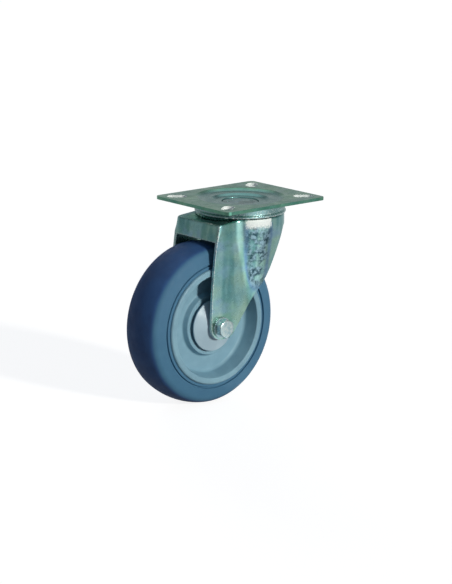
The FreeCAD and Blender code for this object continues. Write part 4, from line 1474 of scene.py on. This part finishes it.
@dataclass
class AxleSet:
    """What clamps the wheel between the legs: bolt, washers, lock nut and its insert."""

    flats: float = 13
    face_radius: float = 6.15
    chamfer: float = 30
    hole: float = 4.15
    nut_bore: float = 4.05
    bolt_radius: float = 4
    leg_face: float = 25
    washer: float = 1.6
    washer_radius: float = 8
    head_face: float = 31.9
    nut_face: float = 32.6
    collar_face: float = 35
    collar_radius: float = 5.9
    insert_radius: float = 5
    bolt_end: float = 37
    thread_pitch: float = 1.25

    def build(self, shop: Workshop) -> None:
        """Builds the fasteners and puts them on the fork's body."""
        shop.place(self.bolt(shop.finishes), "fork", "bolt_zinc", "axle_bolt")
        shop.place(self.washers(), "fork", "bolt_zinc", "axle_washers")
        shop.place(self.nut(), "fork", "bolt_zinc", "lock_nut")
        shop.place(self.insert(), "fork", "insert_plastic", "nut_insert")
        shop.dress_node("axle_sleeve", "sleeve_steel")

    def hexagon(self, name: str, low: float, high: float, bore: float) -> bpy.types.Object:
        """A hexagon with its corners turned off on the far side.

        Args:
            name: The piece's name.
            low: Where it starts along the axle, in mm.
            high: Its far face, further out on the same side.
            bore: The radius of the hole through it.

        Returns:
            The piece.
        """
        out = math.copysign(1, high)
        corner = self.flats / math.sqrt(3)
        centre = Axis.AXLE.centre()
        turns = [math.tau * (i + 0.5) / 6 for i in range(6)]
        outline = [centre + Vector((corner * math.cos(t), low - out, corner * math.sin(t))) * MM
                   for t in turns]
        block = prism("hexagon_block", outline, Vector((0, high - low + 2 * out, 0)) * MM)
        drop = (self.washer_radius - self.face_radius) * math.tan(math.radians(self.chamfer))
        piece = turned(name, [
            (bore, low),
            (self.washer_radius + 1, low),
            (self.washer_radius + 1, high - out * (drop + 0.58)),
            (self.face_radius, high),
            (bore, high),
        ], Axis.AXLE, 144)
        carve(piece, block, "INTERSECT")
        soften(piece, 0.22, 20)
        return piece

    def bolt(self, finishes: Finishes) -> bpy.types.Object:
        """The bolt: its hexagon head on the near side and a shank whose end is threaded."""
        head = self.hexagon("bolt", -self.leg_face - self.washer, -self.head_face, 0)
        tip, root = self.bolt_radius - 0.8, self.bolt_radius - 0.5
        thread = self.nut_face - 1
        shank = turned("shank", rounded([
            Corner(0, -self.leg_face - 2, 0),
            Corner(self.bolt_radius, -self.leg_face - 2, 0),
            Corner(self.bolt_radius, thread),
            Corner(root, thread + 0.3),
            Corner(root, self.bolt_end - 0.5),
            Corner(tip, self.bolt_end, 0.2),
            Corner(0, self.bolt_end, 0),
        ]), Axis.AXLE, 72)
        turns = (self.bolt_end - thread - 1.6) / self.thread_pitch
        start = Axis.AXLE.centre() + Vector((0, thread + 0.5, 0)) * MM
        ridge = Thread(root, self.thread_pitch, turns, start)
        return join(head, shank, ridge.mesh("ridge", finishes.made["bolt_zinc"]))

    def washers(self) -> bpy.types.Object:
        """The two punched washers, one against each leg."""
        pair = []
        for side in (-1, 1):
            low, high = side * self.leg_face, side * (self.leg_face + self.washer)
            section = rounded([Corner(self.hole, low), Corner(self.washer_radius, low, 0.3),
                               Corner(self.washer_radius, high, 0.25), Corner(self.hole, high)])
            pair.append(turned("washers", section, Axis.AXLE, 96))
        return join(*pair)

    def nut(self) -> bpy.types.Object:
        """The lock nut: a hexagon and the crimped collar over its insert."""
        nut = self.hexagon("nut", self.leg_face + self.washer, self.nut_face, self.nut_bore)
        collar = turned("collar", rounded([
            Corner(self.insert_radius, self.nut_face - 0.5),
            Corner(self.collar_radius, self.nut_face - 0.5),
            Corner(self.collar_radius, self.collar_face, 0.8),
            Corner(self.insert_radius, self.collar_face, 0.2),
        ]), Axis.AXLE, 96)
        return join(nut, collar)

    def insert(self) -> bpy.types.Object:
        """The polyamide ring that grips the thread."""
        low, high = self.nut_face, self.collar_face - 0.5
        section = rounded([Corner(self.nut_bore, low), Corner(self.insert_radius, low),
                           Corner(self.insert_radius, high), Corner(self.nut_bore, high, 0.3)])
        return turned("insert", section, Axis.AXLE, 72)


@dataclass
class BallSets:
    """The two ball rows of the swivel head and the two of the wheel's bearings."""

    hub_count: int = 8
    hub_pitch: float = 10.025
    hub_ball: float = 2.38
    hub_gap: float = 17.2

    def build(self, shop: Workshop) -> None:
        """Builds each body's balls."""
        rows = {}
        for name, race in (("upper", UPPER_RACE), ("lower", LOWER_RACE)):
            place = Vector((0, 0, race.level)) * MM
            row = BallRow(race.count, race.pitch, race.ball, place)
            rows[f"{name}_row"] = (f"{name}_ball_set", row, [f"{name}_balls"])
        first = Axis.AXLE.centre() - Vector((0, self.hub_gap / 2, 0)) * MM
        hub = BallRow(self.hub_count, self.hub_pitch, self.hub_ball, first,
                      turn=(-math.pi / 2, 0, 0), rows=2, gap=self.hub_gap)
        rows["hub_rows"] = ("hub_ball_sets", hub, ["hub_balls_left", "hub_balls_right"])
        for name, (body, row, nodes) in rows.items():
            balls = row.mesh(name, shop.finishes.made["race_steel"])
            shop.place(balls, body, "race_steel", *nodes)


@dataclass
class Wheel:
    """The wheel: a moulded core with its tyre, and the thread guards that the legs hold still."""

    radius: float = 62.5
    rim_radius: float = 45.3
    rim_half: float = 21.1
    rim_face: float = 40.4
    recess: float = 37.5
    web_half: float = 8.9
    hub_base: float = 25.1
    hub_face: float = 23.4
    hub_half: float = 13.2
    hub_pocket: float = 20.8
    pocket_depth: float = 0.6
    bearing_radius: float = 14
    bearing_width: float = 8
    rib_half: float = 6
    rib_height: float = 3.4
    crown_radius: float = 46
    side_half: float = 19.2
    shoulder_half: float = 16.8
    shoulder_rounding: float = 7
    line_radius: float = 48.9
    guard_radius: float = 20
    guard_back: float = 15.2
    guard_bore: float = 6.05
    guard_boss: float = 8.9
    guard_face: float = 22.5

    @property
    def bearing_face(self) -> float:
        """Where the bearings' outer faces lie along the axle."""
        return self.hub_half - self.pocket_depth

    def build(self, shop: Workshop) -> None:
        """Builds the pieces and puts them on the wheel's body and, for the guards, the fork's."""
        shop.place(self.core(), "wheel", "core_plastic", "wheel_core")
        shop.place(self.tyre(), "wheel", "tyre_rubber", "tyre")
        for side, sign in (("left", 1), ("right", -1)):
            guard = turned(f"guard_{side}", self.guard_section(sign), Axis.AXLE, 144)
            shop.place(guard, "fork", "guard_plastic", f"thread_guard_{side}")
            shop.dress_node(f"inner_ring_{side}", "race_steel")
            shop.dress_node(f"outer_ring_{side}", "race_steel")
        shop.dress_node("bearing_seals", "seal_rubber")

    def core(self) -> bpy.types.Object:
        """The moulding: hub, web and rim, dished on both sides, with a rib that locks the tyre."""
        face, back = self.bearing_face, self.bearing_face - self.bearing_width
        half = [
            Corner(12, back),
            Corner(self.bearing_radius, back),
            Corner(self.bearing_radius, face, 0.2),
            Corner(self.hub_pocket, face, 0.2),
            Corner(self.hub_pocket, self.hub_half, 0.2),
            Corner(self.hub_face, self.hub_half, 0.8),
            Corner(self.hub_base, self.web_half, 1.5),
            Corner(self.recess, self.web_half, 3),
            Corner(self.rim_face, self.rim_half, 0.9),
            Corner(self.rim_radius, self.rim_half, 1.6),
            Corner(self.rim_radius, self.rib_half),
            Corner(self.rim_radius + self.rib_height, self.rib_half),
        ]
        mirrored = [Corner(c.across, -c.up, c.rounding) for c in reversed(half)]
        return turned("wheel_moulding", rounded(half + mirrored), Axis.AXLE, 240)

    def tyre(self) -> bpy.types.Object:
        """The tyre: crowned tread, round shoulders and a fine line round each side."""
        upper = self.tyre_side()
        section = upper + [(r, -y) for r, y in reversed(upper)]
        tyre = turned("tyre_moulding", section, Axis.AXLE, 288)
        centre = Axis.AXLE.centre()

        def tread_and_shade_share(point: Vector) -> float:
            """How much a point belongs to the tread, which is painted darker as shade and fades out
            over the shoulder.
            """
            out = math.hypot(point.x - centre.x, point.z - centre.z) / MM
            aside = abs(point.y) / MM
            return (1 - smooth_step(14, 16.6, aside)) * smooth_step(50, 54, out)

        paint(tyre, "tread", tread_and_shade_share)
        return tyre

    def tyre_side(self) -> list[Point]:
        """The tyre's section from the rib up its side and over the shoulder to the tread."""
        line, side = self.line_radius, self.side_half
        base = rounded([
            Corner(self.rim_radius + self.rib_height, 0, 0),
            Corner(self.rim_radius + self.rib_height, self.rib_half),
            Corner(self.rim_radius, self.rib_half),
            Corner(self.rim_radius, side, 0.35),
            Corner(line - 1.4, side - 0.2, 0.3),
            Corner(line - 0.95, side - 1.6, 0.15),
            Corner(line - 0.3, side - 1.6, 0.15),
            Corner(line, side, 0.3),
            Corner(line + 2, blend(side, self.shoulder_half, 0.19), 0),
        ], closed=False)
        arc_centre = Vector((self.radius - self.crown_radius, 0))
        shoulder_radius = arc_centre.x + math.sqrt(self.crown_radius**2 - self.shoulder_half**2)
        foot = Vector((line, side))
        way = (Vector((shoulder_radius, self.shoulder_half)) - foot).normalized()
        inward = Vector((way.y, -way.x)) * self.shoulder_rounding
        offset = foot + inward - arc_centre
        along = offset.dot(way)
        gap = self.crown_radius - self.shoulder_rounding
        run = -along + math.sqrt(along**2 - offset.length_squared + gap**2)
        centre = foot + inward + way * run
        start = foot + way * run
        stop = arc_centre + (centre - arc_centre).normalized() * self.crown_radius
        top = Vector((self.radius, 0))
        arcs = arc_points(centre, start, stop, 6)[:-1] + arc_points(arc_centre, stop, top, 1.6)
        return base + [(p.x, p.y) for p in arcs]

    def guard_section(self, sign: int) -> list[Point]:
        """The guard's section: neck against the bearing, and a cone that rises to the leg.

        Args:
            sign: 1 on the left, towards +Y, and -1 on the right.

        Returns:
            Its points of radius and place along the axle, in mm.
        """
        neck, boss, leg = self.guard_bore + 1.6, self.guard_boss, self.guard_face
        corners = [
            Corner(self.guard_bore, self.bearing_face),
            Corner(neck, self.bearing_face),
            Corner(neck, self.guard_back),
            Corner(self.guard_radius, self.guard_back, 0.25),
            Corner(self.guard_radius, self.guard_back + 1.1, 0.5),
            Corner(boss + 0.6, leg - 1.4, 1.2),
            Corner(boss - 0.5, leg, 0.3),
            Corner(self.guard_bore, leg),
        ]
        return [(across, sign * up) for across, up in rounded(corners)]


@dataclass(frozen=True)
class Glow:
    """A bright part of the studio, as metal mirrors it.

    The heading is in degrees from +X. Edge and full are the cosines of the angles off it where the
    part starts and where it is full, and dim and bright are the levels there.
    """

    heading: float
    edge: float
    full: float
    dim: float
    bright: float


@dataclass(frozen=True)
class Lamp:
    """A soft light from far away.

    The strength is what it gives a surface that faces it. The heading, from the near side towards
    the front, the height and the size that it seems to have are in degrees. Mirrored says whether
    it shows in metal and gloss.
    """

    name: str
    strength: float
    heading: float
    height: float
    size: float
    colour: str
    mirrored: bool = True

    def hang(self) -> None:
        """Puts the lamp into the scene."""
        lamp = bpy.data.lights.new(self.name, "SUN")
        lamp.energy = self.strength
        lamp.color = linear(self.colour)[:3]
        lamp.angle = math.radians(self.size)
        light = bpy.data.objects.new(self.name, lamp)
        light.rotation_euler = (math.radians(90 - self.height), 0, math.radians(self.heading))
        light.visible_glossy = self.mirrored
        bpy.context.scene.collection.objects.link(light)


@dataclass
class Studio:
    """The camera, the lamps, the floor and the world round the castor.

    The levels of the world go by height: from, to, and the level at each, where 1 is white.
    """

    azimuth: float = -41.31
    elevation: float = 13.57
    roll: float = 0.58
    camera_place: tuple[float, float, float] = (-1.1044, -1.2412, 0.3252)
    lens: float = 135.9
    # The key is two lamps in one place, so that metal mirrors less than half of it.
    lamps: tuple[Lamp, ...] = (
        Lamp("key", strength=1.5, heading=7, height=18, size=6, colour="fffaf0", mirrored=False),
        Lamp("key_glint", strength=1.2, heading=7, height=18, size=6, colour="fffaf0"),
        Lamp("fill", strength=1.3, heading=150, height=14, size=30, colour="f4f8ff",
             mirrored=False),
    )
    floor_half: float = 8
    floor_gap: float = 0.1
    glows: tuple[Glow, ...] = (Glow(35, -0.8, 0.9, 0.27, 0.62), Glow(-88, 0.8, 0.985, 0, 0.95))
    walls: tuple[float, ...] = (-0.1, 0.9, 0.15, 0.24)
    dusk: tuple[float, ...] = (0.28, 0.5, 1, 0.45)
    overhead: tuple[float, ...] = (0.55, 0.8, 0, 0.8)

    def build(self) -> None:
        """Builds everything round the castor."""
        self.camera()
        for lamp in self.lamps:
            lamp.hang()
        self.floor()
        self.world()
        bpy.context.scene.view_settings.view_transform = "Standard"

    def camera(self) -> None:
        """The camera at the photograph's angle and distance."""
        camera = bpy.data.objects.new("camera", bpy.data.cameras.new("camera"))
        camera.data.lens = self.lens
        camera.data.sensor_width = 36
        camera.location = self.camera_place
        turn, rise = math.radians(self.azimuth), math.radians(self.elevation)
        right = Vector((math.cos(turn), math.sin(turn), 0))
        level_back = Vector((math.sin(turn), -math.cos(turn), 0))
        back = level_back * math.cos(rise) + Vector((0, 0, math.sin(rise)))
        up = back.cross(right)
        tilt = Matrix.Rotation(math.radians(self.roll), 3, back)
        right, up = tilt @ right, tilt @ up
        camera.rotation_mode = "QUATERNION"
        camera.rotation_quaternion = Matrix((right, up, back)).transposed().to_quaternion()
        bpy.context.scene.collection.objects.link(camera)
        bpy.context.scene.camera = camera

    def floor(self) -> None:
        """A pale floor, white with a soft shadow, that metal mirrors as bright as the walls."""
        bottom, half = CAD_BOX[0][2] - self.floor_gap * MM, self.floor_half
        corners = [Vector((x * half, y * half, bottom))
                   for x, y in ((-1, -1), (1, -1), (1, 1), (-1, 1))]
        mesh = bpy.data.meshes.new("floor")
        mesh.from_pydata(corners, [], [(0, 1, 2, 3)])
        floor = finished("floor", mesh)
        material = bpy.data.materials.new("white_card")
        material.use_nodes = True
        wiring = Wiring(material.node_tree)
        lit = wiring.add("ShaderNodeBsdfDiffuse", {"Color": linear("b4b4b4")})
        seen = wiring.add("ShaderNodeAddShader", {
            0: wiring.add("ShaderNodeBsdfDiffuse", {"Color": linear("9a9a9a")}),
            1: wiring.add("ShaderNodeEmission", {"Strength": 0.86}),
        })
        place = wiring.add("ShaderNodeTexCoord", output="Object")
        strength = self.mirrored_level(wiring, place)
        mirrored = wiring.add("ShaderNodeEmission", {"Strength": strength})
        self.by_ray(wiring, "ShaderNodeOutputMaterial", lit, seen, mirrored)
        mesh.materials.append(material)

    def world(self) -> None:
        """A white backdrop with a dim, even light from the studio's walls."""
        world = bpy.data.worlds.new("studio")
        bpy.context.scene.world = world
        world.use_nodes = True
        wiring = Wiring(world.node_tree)
        way = wiring.add("ShaderNodeTexCoord", output="Generated")
        height = wiring.add("ShaderNodeSeparateXYZ", {"Vector": way}, "Z")
        level, dusk, overhead = (
            wiring.add("ShaderNodeMapRange", {"Value": height, "From Min": low, "From Max": high,
                                              "To Min": first, "To Max": last})
            for low, high, first, last in (self.walls, self.dusk, self.overhead)
        )
        lit = wiring.add("ShaderNodeBackground", {"Color": linear("c2d6f2"), "Strength": level})
        seen = wiring.add("ShaderNodeBackground", {"Strength": 1.0})
        sum_up = {0: self.mirrored_level(wiring, way), 1: dusk, 2: overhead}
        strength = wiring.add("ShaderNodeMath", sum_up, operation="MULTIPLY_ADD")
        mirrored = wiring.add("ShaderNodeBackground", {"Strength": strength})
        self.by_ray(wiring, "ShaderNodeOutputWorld", lit, seen, mirrored)

    def mirrored_level(self, wiring: Wiring, way: bpy.types.NodeSocket) -> bpy.types.NodeSocket:
        """How bright the studio is in each direction for what mirrors it.

        Args:
            wiring: The tree to add the nodes to.
            way: The direction, or a place seen from the castor.

        Returns:
            The level, where 1 is white.
        """
        flat = wiring.add("ShaderNodeVectorMath", {0: way, 1: (1, 1, 0)}, operation="MULTIPLY")
        heading = wiring.add("ShaderNodeVectorMath", {0: flat}, operation="NORMALIZE")
        total = 0
        for glow in self.glows:
            turn = math.radians(glow.heading)
            aim = {0: heading, 1: (math.cos(turn), math.sin(turn), 0)}
            share = wiring.add("ShaderNodeVectorMath", aim, "Value", operation="DOT_PRODUCT")
            level = wiring.add("ShaderNodeMapRange", {
                "Value": share, "From Min": glow.edge, "From Max": glow.full,
                "To Min": glow.dim, "To Max": glow.bright,
            }, interpolation_type="SMOOTHSTEP")
            total = wiring.add("ShaderNodeMath", {0: total, 1: level}, operation="ADD")
        return total

    @staticmethod
    def by_ray(wiring: Wiring, output: str, lit: bpy.types.NodeSocket, seen: bpy.types.NodeSocket,
               mirrored: bpy.types.NodeSocket) -> None:
        """Chooses what each kind of ray meets.

        Args:
            wiring: The tree to add the nodes to.
            output: The kind of its output node.
            lit: What lights the castor.
            seen: What the camera sees, straight or through glass.
            mirrored: What shows in metal and gloss.
        """
        rays = wiring.add("ShaderNodeLightPath").node.outputs
        straight = {0: rays["Is Camera Ray"], 1: rays["Is Transmission Ray"]}
        sharp = wiring.add("ShaderNodeMath", straight, operation="MAXIMUM")
        other = wiring.add("ShaderNodeMixShader", {0: rays["Is Glossy Ray"], 1: lit, 2: mirrored})
        both = wiring.add("ShaderNodeMixShader", {0: sharp, 1: other, 2: seen})
        wiring.add(output, {"Surface": both})


def main() -> None:
    """Builds the castor's pieces in order, then the studio."""
    logging.basicConfig(level=logging.INFO, format="%(name)s: %(message)s")
    shop = Workshop(Finishes.build())
    for assembly in (SwivelHead(), Fork(), AxleSet(), BallSets(), Wheel()):
        assembly.build(shop)
    Studio().build()


if __name__ == "__main__":
    main()
